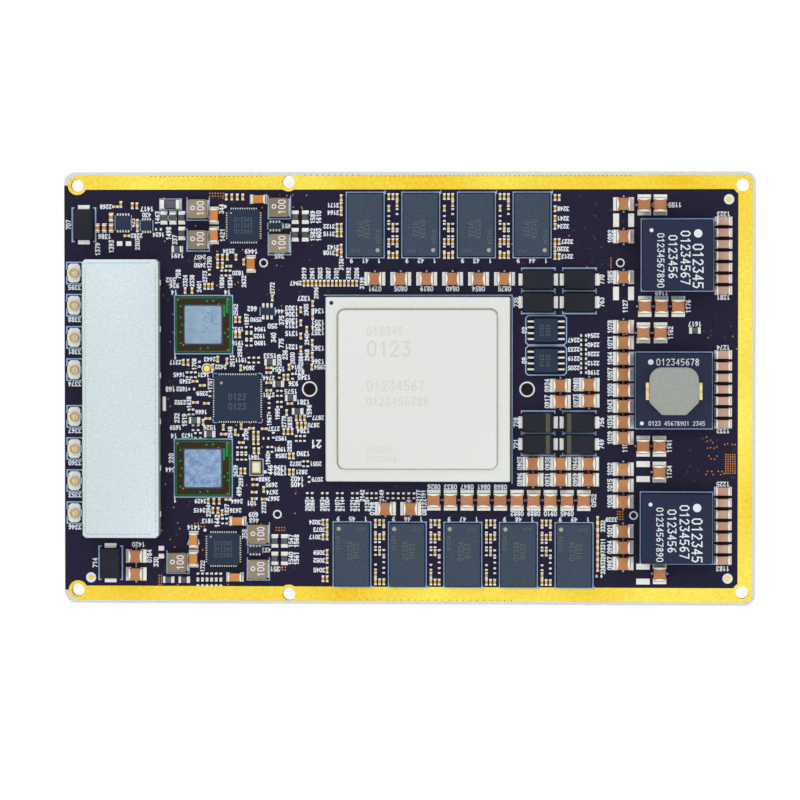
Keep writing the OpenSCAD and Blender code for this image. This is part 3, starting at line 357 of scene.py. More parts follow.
@functools.cache
def blocks(node):
    """The boxes (low, high) of a CAD node's separate solids, in metres."""
    bm = welded(node)
    waiting = set(bm.verts)
    found = []
    while waiting:
        stack = [waiting.pop()]
        low, high = stack[0].co.copy(), stack[0].co.copy()
        while stack:
            vert = stack.pop()
            for axis in range(3):
                low[axis] = min(low[axis], vert.co[axis])
                high[axis] = max(high[axis], vert.co[axis])
            for edge in vert.link_edges:
                other = edge.other_vert(vert)
                if other in waiting:
                    waiting.remove(other)
                    stack.append(other)
        found.append((low, high))
    bm.free()
    return sorted(found, key=lambda box: (round(box[0].x, 5), round(box[0].y, 5)))


def piece(bm, name, material, replaced=()):
    """Makes a bmesh a piece of the module."""
    mesh = bpy.data.meshes.new(name)
    bm.to_mesh(mesh)
    bm.free()
    mesh.materials.append(material)
    mesh.shade_smooth()
    mesh.set_sharp_from_angle(angle=SHARP_ANGLE)
    made = bpy.data.objects.new(name, mesh)
    bpy.context.scene.collection.objects.link(made)
    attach(made, "root")
    if replaced:
        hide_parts(*replaced)
    return made


def paint(node, material):
    """Gives a CAD node a finish."""
    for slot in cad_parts[node].material_slots:
        slot.material = material


def rounded(bm, edges, width, segments=2):
    """Rounds edges, and gives the faces that this makes."""
    return bmesh.ops.bevel(bm, geom=edges, offset=width, offset_type="OFFSET", segments=segments, profile=0.5,
                           affect="EDGES", clamp_overlap=True, material=-1)["faces"]


def cuboid(bm, place, size):
    """A box by its middle and its size, given as its vertices."""
    return bmesh.ops.create_cube(bm, size=1, matrix=Matrix.Translation(place) @ Matrix.Diagonal((*size, 1)))["verts"]


def edges_of(verts):
    """The edges that meet at some vertices, in the same order each run."""
    return list(dict.fromkeys(edge for vert in verts for edge in vert.link_edges))


def soften(node, material, width, segments=2, upright=0.0, spare=None):
    """Replaces a CAD node by a copy with rounded edges, after rounding its upright ones further if asked. Edges that
    are near a spared point (x, y and reach) stay sharp."""
    bm = loose_copy(node)
    if upright:
        posts = [e for e in bm.edges if abs(e.verts[0].co.z - e.verts[1].co.z) > 0.9 * e.calc_length()]
        rounded(bm, posts, upright, 4)
    sharp = [e for e in bm.edges if len(e.link_faces) == 2 and e.calc_face_angle(0) > ROUNDED_ANGLE]
    if spare:
        sharp = [e for e in sharp if math.dist(e.verts[0].co.xy, spare[:2]) > spare[2]]
    rounded(bm, sharp, width, segments)
    return piece(bm, node + "_finish", material, [node])


class Sheet:
    """Marks gathered in small batches, because an operator slows down as the mesh that it works on grows."""

    def __init__(self):
        self.whole, self.batch = bmesh.new(), bmesh.new()

    def room(self):
        """The batch that the next mark goes in."""
        if len(self.batch.verts) > BATCH_VERTS:
            self.spill()
        return self.batch

    def spill(self):
        """Moves the batch's marks to the whole."""
        page = bpy.data.meshes.new("page")
        self.batch.to_mesh(page)
        self.whole.from_mesh(page)
        bpy.data.meshes.remove(page)
        self.batch.clear()

    def piece(self, name, material, slot, replaced=()):
        """Makes the marks a piece of the module."""
        self.spill()
        self.batch.free()
        bmesh.ops.recalc_face_normals(self.whole, faces=self.whole.faces)
        return piece(self.whole, name, material, replaced)


@functools.cache
def extent(node):
    """Lowest and highest corner of a CAD node."""
    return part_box(node)


def bar(sheet, start, end, width, z, thick):
    """A flat stroke between two points on a plane."""
    run = Vector((end[0] - start[0], end[1] - start[1]))
    middle = ((start[0] + end[0]) / 2, (start[1] + end[1]) / 2, z + thick / 2)
    place = Matrix.Translation(middle) @ Matrix.Rotation(math.atan2(run.y, run.x), 4, "Z")
    bmesh.ops.create_cube(sheet.room(), size=1, matrix=place @ Matrix.Diagonal((run.length + width, width, thick, 1)))


def disc(sheet, x, y, z, radius, thick, sides=12):
    """A flat round dot."""
    bmesh.ops.create_cone(sheet.room(), cap_ends=True, segments=sides, radius1=radius, radius2=radius, depth=thick,
                          matrix=Matrix.Translation((x, y, z + thick / 2)))


def hoop(sheet, x, y, z, inner, outer, thick, sides=24):
    """A flat ring."""
    bm = sheet.room()
    made = bmesh.ops.create_circle(bm, cap_ends=True, segments=sides, radius=outer,
                                   matrix=Matrix.Translation((x, y, z)))
    face = made["verts"][0].link_faces[0]
    bmesh.ops.inset_individual(bm, faces=[face], thickness=outer - inner)
    band = list(dict.fromkeys(f for v in made["verts"] for f in v.link_faces))
    bmesh.ops.delete(bm, geom=[face], context="FACES_ONLY")
    grown = bmesh.ops.extrude_face_region(bm, geom=band)
    top = [v for v in grown["geom"] if isinstance(v, bmesh.types.BMVert)]
    bmesh.ops.translate(bm, verts=top, vec=(0, 0, thick))


def outline(sheet, low, high, width, z, thick, sides="tblr"):
    """A frame of strokes: top, bottom, left and right."""
    corners = {
        "t": ((low[0], high[1]), (high[0], high[1])), "b": ((low[0], low[1]), (high[0], low[1])),
        "l": ((low[0], low[1]), (low[0], high[1])), "r": ((high[0], low[1]), (high[0], high[1])),
    }
    for layer, side in enumerate(sides):
        bar(sheet, *corners[side], width, z, thick * (1 + layer * LAYER))


def number(sheet, text, x, y, turn, height, z, thick, weight=0.14):
    """A printed number, centred on a point and turned in quarter turns, its strokes a share of its height wide. A
    space leaves a gap. Each stroke lies a little above the last, so that no two tops share a plane."""
    half, step = height / 2, height * FIGURE_STEP
    start = -(len(text) - 1) * step / 2 - half * 0.5
    spin = Matrix.Rotation(turn * math.pi / 2, 2)
    for i, figure in enumerate(text):
        for run in DIGITS[int(figure)] if figure != " " else ():
            points = [spin @ Vector((start + i * step + u * half, (v - 1) * half)) for u, v in run]
            for layer, (one, two) in enumerate(zip(points, points[1:])):
                bar(sheet, (x + one.x, y + one.y), (x + two.x, y + two.y), height * weight, z,
                    thick * (1 + layer * LAYER))


def counting(length):
    """A plain run of figures: 0 1 2 3 and so on."""
    return "".join(str(i % 10) for i in range(length))


def board_top():
    """Height of the solder mask's upper face."""
    return extent("solder_mask")[1].z


def centre(low, high):
    """Middle of a box, seen from above."""
    return (low.x + high.x) / 2, (low.y + high.y) / 2


def middle(node):
    """Middle of a CAD node's box, seen from above."""
    return centre(*extent(node))


class ModuleOperator:
    """What the operators share."""

    bl_options = {"REGISTER", "UNDO"}

    @property
    def edges(self):
        return bpy.context.scene.module_edges

    @property
    def marks(self):
        return bpy.context.scene.module_print


class MODULE_OT_board(ModuleOperator, bpy.types.Operator):
    """Finish the laminate, mask, ground strip and pads"""

    bl_idname = "module.board"
    bl_label = "Board"

    # Rows of vias near the ground strip's outer edge, their dark mouths painted shade: first X, Y, count and pitch in
    # mm
    STRIP_ROWS = ((-56, 46.0, 26, 1), (-22.5, 46.2, 10, 1.3), (-8, 46.0, 57, 1), (-10.6, -45.95, 23, 1.5))
    STRIP_RADIUS = 0.12 * MM
    PLATING = 0.03 * MM

    def execute(self, context):
        for node, tone in (("circuit_board", "laminate"), ("solder_mask", "mask"), ("ground_strip", "gold"),
                           ("hole_rings", "white_ink"), ("solder_pads", "tin"), ("gold_discs", "gold")):
            paint(node, MATERIALS[tone])
        self.strip_vias()
        self.hole_walls()
        return {"FINISHED"}

    def hole_walls(self):
        """The plating inside each drilled hole for a screw."""
        wall = self.PLATING
        low, high = extent("circuit_board")
        sheet = Sheet()
        for x, y, across in HOLES:
            hoop(sheet, x * MM, y * MM, low.z + wall, across / 2 * MM - wall, across / 2 * MM - wall / 10,
                 high.z - low.z - 2 * wall, 40)
        sheet.piece("hole_walls", MATERIALS["barrel"], "gold_plating")

    def strip_vias(self):
        """The small vias in the ground strip, their dark mouths painted shade."""
        top = board_top()
        sheet = Sheet()
        for x, y, count, pitch in self.STRIP_ROWS:
            for i in range(count):
                disc(sheet, (x + i * pitch) * MM, y * MM, top, self.STRIP_RADIUS, self.marks.ink, 8)
        sheet.piece("strip_vias", MATERIALS["shade"], "gold_plating")


class MODULE_OT_processor(ModuleOperator, bpy.types.Operator):
    """Finish the processor's substrate, die and lid"""

    bl_idname = "module.processor"
    bl_label = "Processor"

    # The lid's rows of figures: Y from its middle and height in mm, and how many figures
    ROWS = ((12.6, 1.7, 6), (8.8, 3.1, 4), (0.8, 2.0, 8), (-2.6, 1.7, 10), (-13, 1.2, 6), (-15, 1.2, 7))
    # Their common left edge, from the lid's middle in mm
    ROWS_LEFT = 11.1
    # The hollow's faces have a normal whose Z lies between these, the steep ones' below STEEP, and its X or Y beyond
    # SIDE on the upper and left sides
    LEANING, STEEP, SIDE = (0.02, 0.999), 0.9, 0.1

    def execute(self, context):
        look = MATERIALS
        paint("processor_substrate", look["substrate"])
        paint("processor_die", look["silicon"])
        low, high = extent("processor_lid")
        inset, across, _ = PIN_RECESS
        recess = (low.x + inset * MM, high.y - inset * MM, across * MM)
        lid = soften("processor_lid", look["nickel"], self.edges.lid, 3, spare=recess)
        self.groove(lid.data)
        self.marking()
        return {"FINISHED"}

    def groove(self, mesh):
        """Paints shade as a tan colour on the hollow round the raised middle, wider on its upper and left sides."""
        mesh.materials.append(MATERIALS["groove"])
        x, y = middle("processor_lid")
        flange = self.flange()
        for face in mesh.polygons:
            spot, normal = face.center, face.normal
            outwards = (spot.x - x) * normal.x + (spot.y - y) * normal.y
            leans = self.LEANING[0] < normal.z < self.LEANING[1]
            if 0 < spot.z - flange < self.edges.lid and outwards > 0 and leans:
                broad = normal.x < -self.SIDE or normal.y > self.SIDE
                if broad or normal.z < self.STEEP:
                    face.material_index = 1

    def flange(self):
        """Height of the lid's flange."""
        return sorted({round(v.co.z, 6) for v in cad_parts["processor_lid"].data.vertices})[-2]

    def marking(self):
        """Rows of plain figures dulled into the plate from one left edge, and the recess at the first pin."""
        x, y = middle("processor_lid")
        low, high = extent("processor_lid")
        sheet = Sheet()
        for dy, tall, length in self.ROWS:
            width = tall * FIGURE_STEP * length
            number(sheet, counting(length), x + (width / 2 - self.ROWS_LEFT) * MM, y + dy * MM, 0, tall * MM, high.z,
                   self.marks.ink)
        sheet.piece("lid_marking", MATERIALS["etched"], "nickel_lid")
        sheet = Sheet()
        inset, across, depth = (value * MM for value in PIN_RECESS)
        disc(sheet, low.x + inset, high.y - inset, self.flange() - depth, across * 0.49, depth / 2, 20)
        sheet.piece("lid_pin_recess", MATERIALS["drilled"], "nickel_lid")


class MODULE_OT_transceivers(ModuleOperator, bpy.types.Operator):
    """Finish the two transceivers: substrate, dark field, underfill and bare die"""

    bl_idname = "module.transceivers"
    bl_label = "Transceivers"

    # Places from the substrate's middle in mm: green dots, rows of them upwards with their count, and copper marks
    GREEN = ((-4.9, 4), (-4.9, 1.6), (-4.6, 0), (-4.9, -1.6), (-4.9, -4), (0.8, 5.1), (1, -5), (5.4, -1),
             (4.7, -1.8), (5.4, -2.6), (2.2, 5.2), (-0.6, -5.2))
    GREEN_ROWS = ((4.6, 2, 5), (5.25, 2.8, 6))
    COPPER = ((-5.5, 5.4), (5.4, 5.5), (5.4, -5.5), (-4.3, -4.4), (3.4, 4.4))
    # The dots' radius, those in rows and the copper marks too, and the rows' pitch in mm
    GREEN_RADIUS, ROW_RADIUS, COPPER_RADIUS, ROW_PITCH = 0.22 * MM, 0.27 * MM, 0.2 * MM, 0.5
    # How many specks, and their least and greatest radius in mm
    SPECKS, SPECK_RADII = 34, (0.05, 0.13)
    # Rounding of a die's upright edges, width of the substrate's green rim, and spread and rise of the underfill
    DIE_CORNER, GREEN_RIM, SPREAD, RISE = 0.4 * MM, 0.3 * MM, 0.32 * MM, 0.3 * MM

    def execute(self, context):
        look = MATERIALS
        for name, die in zip(TRANSCEIVERS, ("silicon", "stained")):
            soften(name + "_substrate", look["substrate"], self.edges.package)
            soften(name + "_die", look[die], self.edges.package, upright=self.DIE_CORNER)
        self.fields()
        self.fillets()
        self.dots()
        self.specks()
        return {"FINISHED"}

    def specks(self):
        """Dried specks over the upper right of the upper die."""
        x, y = middle("upper_transceiver_die")
        top = extent("upper_transceiver_die")[1].z
        chance = random.Random(self.marks.seed)
        sheet = Sheet()
        for i in range(self.SPECKS):
            disc(sheet, x + chance.uniform(-0.2, 3.4) * MM, y + chance.triangular(-3, 3.2, 2.6) * MM, top,
                 chance.uniform(*self.SPECK_RADII) * MM, self.marks.ink * (0.5 + i / 60), 6)
        sheet.piece("die_specks", MATERIALS["speck"], "silicon")

    def fields(self):
        """The dark area inside each substrate's green rim."""
        rim = self.GREEN_RIM
        bm = bmesh.new()
        for node in SUBSTRATES:
            low, high = extent(node)
            size = (high.x - low.x - 2 * rim, high.y - low.y - 2 * rim, self.marks.ink)
            cuboid(bm, (*centre(low, high), high.z + self.marks.ink / 2), size)
        piece(bm, "transceiver_fields", MATERIALS["field"])

    def fillets(self):
        """The sloping resin round each die's foot."""
        spread, rise = self.SPREAD, self.RISE
        bm = bmesh.new()
        for name in TRANSCEIVERS:
            low, high = extent(name + "_die")
            x, y = centre(low, high)
            size = (high.x - low.x + 2 * spread, high.y - low.y + 2 * spread, rise)
            for vert in cuboid(bm, (x, y, low.z + self.marks.ink + rise / 2), size):
                if vert.co.z > low.z + rise / 2:
                    vert.co.x += spread * 0.8 * (1 if vert.co.x < x else -1)
                    vert.co.y += spread * 0.8 * (1 if vert.co.y < y else -1)
        piece(bm, "transceiver_underfill", MATERIALS["underfill"])

    def dots(self):
        """Green mask dots and bars on the field, and copper marks at its corners."""
        green, copper = Sheet(), Sheet()
        for node in SUBSTRATES:
            x, y = middle(node)
            z = extent(node)[1].z + self.marks.ink
            for dx, dy in self.GREEN:
                disc(green, x + dx * MM, y + dy * MM, z, self.GREEN_RADIUS, self.marks.ink, 8)
            for dx, dy, count in self.GREEN_ROWS:
                for i in range(count):
                    disc(green, x + dx * MM, y + (dy + i * self.ROW_PITCH) * MM, z, self.ROW_RADIUS,
                         self.marks.ink * (1 + i * LAYER), 8)
            for dx, dy in self.COPPER:
                disc(copper, x + dx * MM, y + dy * MM, z, self.COPPER_RADIUS, self.marks.ink, 8)
        green.piece("transceiver_green_dots", MATERIALS["mask_dot"], "green_substrate")
        copper.piece("transceiver_corner_marks", MATERIALS["copper"], "gold_plating")


class MODULE_OT_packages(ModuleOperator, bpy.types.Operator):
    """Finish the moulded chips: memory, clock, supply controllers, flash and small packages"""

    bl_idname = "module.packages"
    bl_label = "Moulded packages"

    # A memory chip's rows of figures: X and Y from its middle in mm, how many figures, and their height in mm
    MEMORY_ROWS = ((1, 0.9, 4, 1.05), (-0.4, 0.9, 5, 1.05), (-2.9, 2.6, 5, 0.8))
    # A memory chip's small row across the others, in the same terms
    CROSS_ROW = (2, 5.6, 4, 0.6)
    # The other chips' rows: places from the middle in mm, turn, how many figures, and their height in mm
    LASER_ROWS = (
        (["clock_chip"], ((0, 0.3), (0, -1.8)), 0, 4, 1.25),
        (SUPPLY, ((0, 1.3), (0, 0), (0, -1.3)), 0, 6, 0.85),
        (FLASH, ((-0.9, 0), (0.5, 0)), 1, 4, 0.8),
    )
    # Radius of the marks at the first pin
    MEMORY_MARK, CLOCK_MARK, SUPPLY_MARK = 0.45 * MM, 0.3 * MM, 0.22 * MM

    def execute(self, context):
        look = MATERIALS
        for node in MEMORY:
            soften(node, look["memory"], self.edges.package)
        for node in SUPPLY + ["clock_chip"] + FLASH + ["small_packages"]:
            soften(node, look["compound"], self.edges.package)
        for node in ("clock_chip_leads", "supply_controller_leads", "small_package_leads"):
            paint(node, look["tin"])
        soften("flash_leads", look["tin"], self.edges.small, 1)
        soften("oscillator", look["ceramic_lid"], self.edges.small, 1)
        self.index_marks()
        self.laser_rows()
        self.oscillator_lid()
        return {"FINISHED"}

    def index_marks(self):
        """Round marks at the first pin, pale with painted sheen."""
        sheet = Sheet()
        for node in MEMORY:
            low, high = extent(node)
            turned = node.startswith("memory_bottom")
            x, y = (low.x + 0.95 * MM, high.y - 1.1 * MM) if turned else (high.x - 1.0 * MM, low.y + 1.3 * MM)
            disc(sheet, x, y, high.z, self.MEMORY_MARK, self.marks.ink, 20)
        low, high = extent("clock_chip")
        disc(sheet, low.x + 1.55 * MM, high.y - 1.7 * MM, high.z, self.CLOCK_MARK, self.marks.ink, 16)
        for node in SUPPLY:
            low, high = extent(node)
            disc(sheet, low.x + 0.8 * MM, high.y - 0.8 * MM, high.z, self.SUPPLY_MARK, self.marks.ink, 12)
        sheet.piece("index_marks", MATERIALS["index_sheen"], "cream_plastic")

    def laser_rows(self):
        """Faint rows of plain figures where a package is laser-marked."""
        thick = self.marks.ink / 2
        faint, sheet = Sheet(), Sheet()
        for node in MEMORY:
            top = extent(node)[1].z
            x, y = middle(node)
            side, turn = (-1, 1) if node.startswith("memory_bottom") else (1, 3)
            for dx, dy, length, tall in self.MEMORY_ROWS:
                number(faint, counting(length), x - side * dx * MM, y - side * dy * MM, turn, tall * MM, top, thick)
            dx, dy, length, tall = self.CROSS_ROW
            number(faint, counting(length), x - side * dx * MM, y - side * dy * MM, 2, tall * MM, top, thick)
        for nodes, places, turn, length, tall in self.LASER_ROWS:
            for node in nodes:
                x, y = middle(node)
                top = extent(node)[1].z
                for dx, dy in places:
                    number(sheet, counting(length), x + dx * MM, y + dy * MM, turn, tall * MM, top, thick)
        faint.piece("memory_marking", MATERIALS["faint"], "memory_black")
        sheet.piece("laser_rows", MATERIALS["laser"], "memory_black")

    def oscillator_lid(self):
        """The pale lid inside the oscillator's gold rim."""
        low, high = extent("oscillator")
        inset, thick = 0.32 * MM, self.marks.ink * 3
        size = (high.x - low.x - 2 * inset, high.y - low.y - 2 * inset, thick)
        bm = bmesh.new()
        cuboid(bm, (*centre(low, high), high.z + thick / 2), size)
        piece(bm, "oscillator_lid", MATERIALS["nickel"])


class MODULE_OT_power(ModuleOperator, bpy.types.Operator):
    """Finish the power modules and the inductor on the middle one"""

    bl_idname = "module.power"
    bl_label = "Power modules"

    # The outer modules' rows of figures: X and Y from the middle in mm, how many figures, and their height in mm
    ROWS = ((-3.6, -1.2, 11, 1.35), (-1, -0.4, 7, 1.7), (1.7, -0.6, 8, 1.85), (4.4, -2.4, 6, 2.05))

    def execute(self, context):
        look = MATERIALS
        for node in MODULES:
            soften(node, look["module"], self.edges.package)
        soften("core_inductor", look["ferrite"], self.edges.can)
        soften("core_inductor_tabs", look["brass"], self.edges.small)
        self.marking()
        return {"FINISHED"}

    def marking(self):
        """White index dots and rows of plain figures."""
        thick = self.marks.ink
        sheet = Sheet()
        for node in (MODULES[0], MODULES[2]):
            low, high = extent(node)
            x, y = middle(node)
            disc(sheet, low.x + 1.9 * MM, high.y - 2.2 * MM, high.z, 0.42 * MM, thick, 20)
            for dx, dy, length, tall in self.ROWS:
                number(sheet, counting(length), x + dx * MM, y + dy * MM, 3, tall * MM, high.z, thick)
            disc(sheet, x + 4.4 * MM, y + 4.6 * MM, high.z, 0.9 * MM, thick, 24)
        low, high = extent("core_power_module")
        x, y = middle("core_power_module")
        disc(sheet, low.x + 1.1 * MM, low.y + 1.0 * MM, high.z, 0.42 * MM, thick, 20)
        disc(sheet, x - 5 * MM, high.y - 1.8 * MM, high.z, 0.6 * MM, thick, 20)
        number(sheet, counting(9), x + 0.8 * MM, high.y - 1.8 * MM, 0, 1.3 * MM, high.z, thick)
        number(sheet, "0123 45678901 2345", x + 0.6 * MM, low.y + 1.0 * MM, 0, 0.85 * MM, high.z, thick)
        sheet.piece("module_marking", MATERIALS["white_ink"], "cream_plastic")


class MODULE_OT_shield(ModuleOperator, bpy.types.Operator):
    """Finish the shield can and the chips under it"""

    bl_idname = "module.shield"
    bl_label = "Shield can"

    def execute(self, context):
        lid = soften("shield_lid", MATERIALS["sheet"], self.edges.can / 3)
        self.bent_walls(lid.data)
        paint("shield_frame", MATERIALS["sheet"])
        paint("balun_chips", MATERIALS["cream"])
        self.punch_row()
        return {"FINISHED"}

    def bent_walls(self, mesh):
        """Paints shade on the lid's upright faces as a darker olive grey, but not on the tops of its ridges."""
        mesh.materials.append(MATERIALS["wall"])
        for face in mesh.polygons:
            if abs(face.normal.z) < 0.5 and face.area > 2 * MM * MM:
                face.material_index = 1

    def punch_row(self):
        """The row of fine punch marks a little inside the lid's edge, their pits painted shade as blue-grey dots."""
        low, high = extent("shield_lid")
        inset, pitch, radius = 0.8 * MM, 0.5 * MM, 0.13 * MM
        sheet = Sheet()
        x0, x1, y0, y1 = low.x + inset, high.x - inset, low.y + inset * 1.6, high.y - inset * 1.6
        for i in range(int((y1 - y0) / pitch)):
            for x in (x0, x1):
                disc(sheet, x, y0 + i * pitch, high.z, radius, self.marks.ink, 6)
        for i in range(int((x1 - x0 - inset) / pitch)):
            for y in (y0 - inset * 0.6, y1 + inset * 0.6):
                disc(sheet, x0 + inset / 2 + i * pitch, y, high.z, radius, self.marks.ink, 6)
        sheet.piece("can_punch_marks", MATERIALS["pit_shade"], "can_sheet")


class MODULE_OT_coax(ModuleOperator, bpy.types.Operator):
    """Finish the coaxial receptacles"""

    bl_idname = "module.coax"
    bl_label = "Coaxial receptacles"

    def execute(self, context):
        soften("coax_bases", MATERIALS["cream"], self.edges.small, 1)
        soften("coax_shells", MATERIALS["shell"], self.edges.small)
        soften("coax_pins", MATERIALS["gold"], self.edges.small)
        return {"FINISHED"}


class MODULE_OT_passives(ModuleOperator, bpy.types.Operator):
    """Finish capacitors, inductors and small chips, and solder them down"""

    bl_idname = "module.passives"
    bl_label = "Passive parts"

    # How far a brown body reaches into its dipped ends
    BODY_REACH = 0.38 * MM
    # How high solder climbs a terminal, and how thick it still is at its outer edge, as shares
    CLIMB, LIP = 0.17, 0.15
    # The least width that a fillet needs, and the width of the drop at a small chip's end
    FILLET_LEAST, DROP = 0.05 * MM, 0.22 * MM
    # The polarity band: from the body's end to its middle, width, and distance from the body's sides
    BAND_PLACE, BAND_WIDTH, BAND_INSET = 1.2 * MM, 0.9 * MM, 0.6 * MM

    def execute(self, context):
        look, edges = MATERIALS, self.edges
        for node, tone, slot in (("edge_capacitor_bodies", "tan", "tan_ceramic"),
                                 ("filter_capacitor_bodies", "orange", "orange_ceramic"),
                                 ("grey_chip_bodies", "grey", "grey_ceramic"),
                                 ("inductor_bodies", "coil", "coil_composite"),
                                 ("tantalum_bodies", "tantalum", "tantalum_black")):
            soften(node, look[tone], edges.ceramic)
        self.brown_bodies()
        self.dipped_ends()
        soften("grey_chip_terminals", look["tin"], edges.ceramic)
        soften("small_terminals", look["tin"], edges.small, 1)
        soften("small_capacitors", look["yellow"], edges.small, 1)
        soften("small_resistors", look["tantalum"], edges.small, 1)
        for node in ("tantalum_terminals", "inductor_terminals"):
            soften(node, look["tin"], edges.small, 1)
        self.fillets()
        self.small_solder()
        self.coil_print()
        self.polarity_bands()
        return {"FINISHED"}

    def brown_bodies(self):
        """Ceramic blocks that reach into their dipped ends, because the plating is shorter at the corners."""
        sheet = Sheet()
        for low, high in blocks("capacitor_bodies"):
            size = high - low
            size[0 if size.x < size.y else 1] += 2 * self.BODY_REACH
            bm = sheet.room()
            rounded(bm, edges_of(cuboid(bm, (low + high) / 2, size)), self.edges.ceramic)
        sheet.piece("capacitor_bodies_finish", MATERIALS["brown"], "brown_ceramic", ["capacitor_bodies"])

    def dipped_ends(self):
        """Capacitor ends with rounded corners, whose plating creeps inwards along the middle of the body."""
        brown = len(blocks("capacitor_bodies"))
        bodies = blocks("capacitor_bodies") + blocks("edge_capacitor_bodies") + blocks("filter_capacitor_bodies")
        sheet = Sheet()
        for low, high in blocks("capacitor_terminals"):
            point = (low + high) / 2
            nearest = min(range(len(bodies)), key=lambda i: ((bodies[i][0] + bodies[i][1]) / 2 - point).length)
            body = bodies[nearest]
            cut = END_CUT if nearest < brown else 0.0
            self.dipped_end(sheet.room(), low, high, (body[0] + body[1]) / 2 - point, cut)
        made = sheet.piece("capacitor_ends", MATERIALS["tin"], "tin", ["capacitor_terminals"])
        # A second finish, painted shade, for the ends' outward rounded faces
        made.data.materials.append(MATERIALS["end_shade"])

    def dipped_end(self, bm, low, high, inwards, cut):
        """One end: a block whose inner rim bows inwards, is cut back by a share of its length at the corners, and
        whose outer corners and top edges are rounded."""
        along = 0 if abs(inwards.x) > abs(inwards.y) else 1
        across, side, point = 1 - along, math.copysign(1, inwards[along]), (low + high) / 2
        made = cuboid(bm, point, high - low)
        rims, outer = [], []
        for edge in edges_of(made):
            spot, run = (edge.verts[0].co + edge.verts[1].co) / 2 - point, edge.verts[0].co - edge.verts[1].co
            if abs(run[across]) > WELD and spot[along] * side > 0:
                rims.append(edge)
            elif spot.z > WELD or (abs(run.z) > WELD and spot[along] * side < 0):
                outer.append(edge)
        long, bow = high[along] - low[along], max(END_BOW, cut * 1.1)
        for vert in made:
            if (vert.co[along] - point[along]) * side > 0:
                vert.co[along] -= side * long * cut
        split = bmesh.ops.subdivide_edges(bm, edges=rims, cuts=5, use_grid_fill=True)
        for vert in [v for v in split["geom_inner"] if isinstance(v, bmesh.types.BMVert)]:
            share = (vert.co[across] - low[across]) / (high[across] - low[across])
            vert.co[along] += side * long * bow * math.sin(math.pi * share)
        # The rounded faces that face outwards get painted shade: a dull grey line
        for face in rounded(bm, outer, min(self.edges.terminal, 0.3 * long)):
            if face.normal[along] * side < -0.3:
                face.material_index = 1

    def polarity_bands(self):
        """Bands at the facing ends of the four tantalum capacitors below the flash chips."""
        sheet = Sheet()
        line = extent(FLASH[1])[0].y
        pairs = [box for box in blocks("tantalum_bodies") if box[1].y < line and box[0].x > 0]
        if not pairs:
            raise RuntimeError("no tantalum capacitors below the flash chips")
        split = sum((low.x + high.x) / 2 for low, high in pairs) / len(pairs)
        for low, high in pairs:
            x = high.x - self.BAND_PLACE if high.x < split else low.x + self.BAND_PLACE
            bar(sheet, (x, low.y + self.BAND_INSET), (x, high.y - self.BAND_INSET), self.BAND_WIDTH, high.z,
                self.marks.ink)
        sheet.piece("polarity_bands", MATERIALS["band_ink"], "tantalum_black")

    def fillets(self):
        """Solder that climbs from each pad's outer edge up the terminal's end."""
        pads = blocks("solder_pads")
        bm = bmesh.new()
        for low, high in blocks("capacitor_terminals") + blocks("grey_chip_terminals"):
            x, y = centre(low, high)
            pad = next((p for p in pads if p[0].x < x < p[1].x and p[0].y < y < p[1].y), None)
            if pad is None:
                continue
            self.wedge(bm, low, high, pad)
        piece(bm, "solder_fillets", MATERIALS["tin"])

    def wedge(self, bm, low, high, pad):
        """One fillet: a block beside the terminal whose outer top edge comes down to the pad."""
        along = 0 if high.x - low.x < high.y - low.y else 1
        gaps = (low[along] - pad[0][along], pad[1][along] - high[along])
        side = 0 if gaps[0] > gaps[1] else 1
        if gaps[side] < self.FILLET_LEAST:
            return
        rise = (high.z - low.z) * self.CLIMB
        inner, outer = (low[along], pad[0][along]) if side == 0 else (high[along], pad[1][along])
        size, place = [0, 0, rise], [0, 0, low.z + rise / 2]
        size[along], place[along] = abs(outer - inner), (outer + inner) / 2
        across = 1 - along
        size[across], place[across] = high[across] - low[across], (high[across] + low[across]) / 2
        for vert in cuboid(bm, place, size):
            if vert.co.z > low.z + rise / 2 and abs(vert.co[along] - outer) < abs(outer - inner) / 2:
                vert.co.z = low.z + rise * self.LIP

    def small_solder(self):
        """A drop of solder at the outer face of each small chip's ends, on the upper side."""
        floor = extent("circuit_board")[1].z
        bodies = blocks("small_capacitors") + blocks("small_resistors")
        near = kdtree.KDTree(len(bodies))
        for i, (low, high) in enumerate(bodies):
            near.insert((low + high) / 2, i)
        near.balance()
        sheet = Sheet()
        for low, high in blocks("small_terminals"):
            if low.z < floor:
                continue
            point = (low + high) / 2
            away = point - near.find(point)[0]
            along = 0 if abs(away.x) > abs(away.y) else 1
            grown = (low.copy(), high.copy())
            grown[1 if away[along] > 0 else 0][along] += math.copysign(self.DROP, away[along])
            self.wedge(sheet.room(), low, high, grown)
        sheet.piece("small_chip_solder", MATERIALS["tin"], "tin")

    def coil_print(self):
        """Ring and plain number on each inductor."""
        sheet = Sheet()
        thick = self.marks.ink
        for low, high in blocks("inductor_bodies"):
            x, y = centre(low, high)
            hoop(sheet, x - 0.95 * MM, y + 0.2 * MM, high.z, 0.3 * MM, 0.52 * MM, thick, 16)
            number(sheet, "100", x + 0.75 * MM, y + 0.1 * MM, 1, 1.4 * MM, high.z, thick)
        sheet.piece("coil_marks", MATERIALS["white_ink"], "cream_plastic")


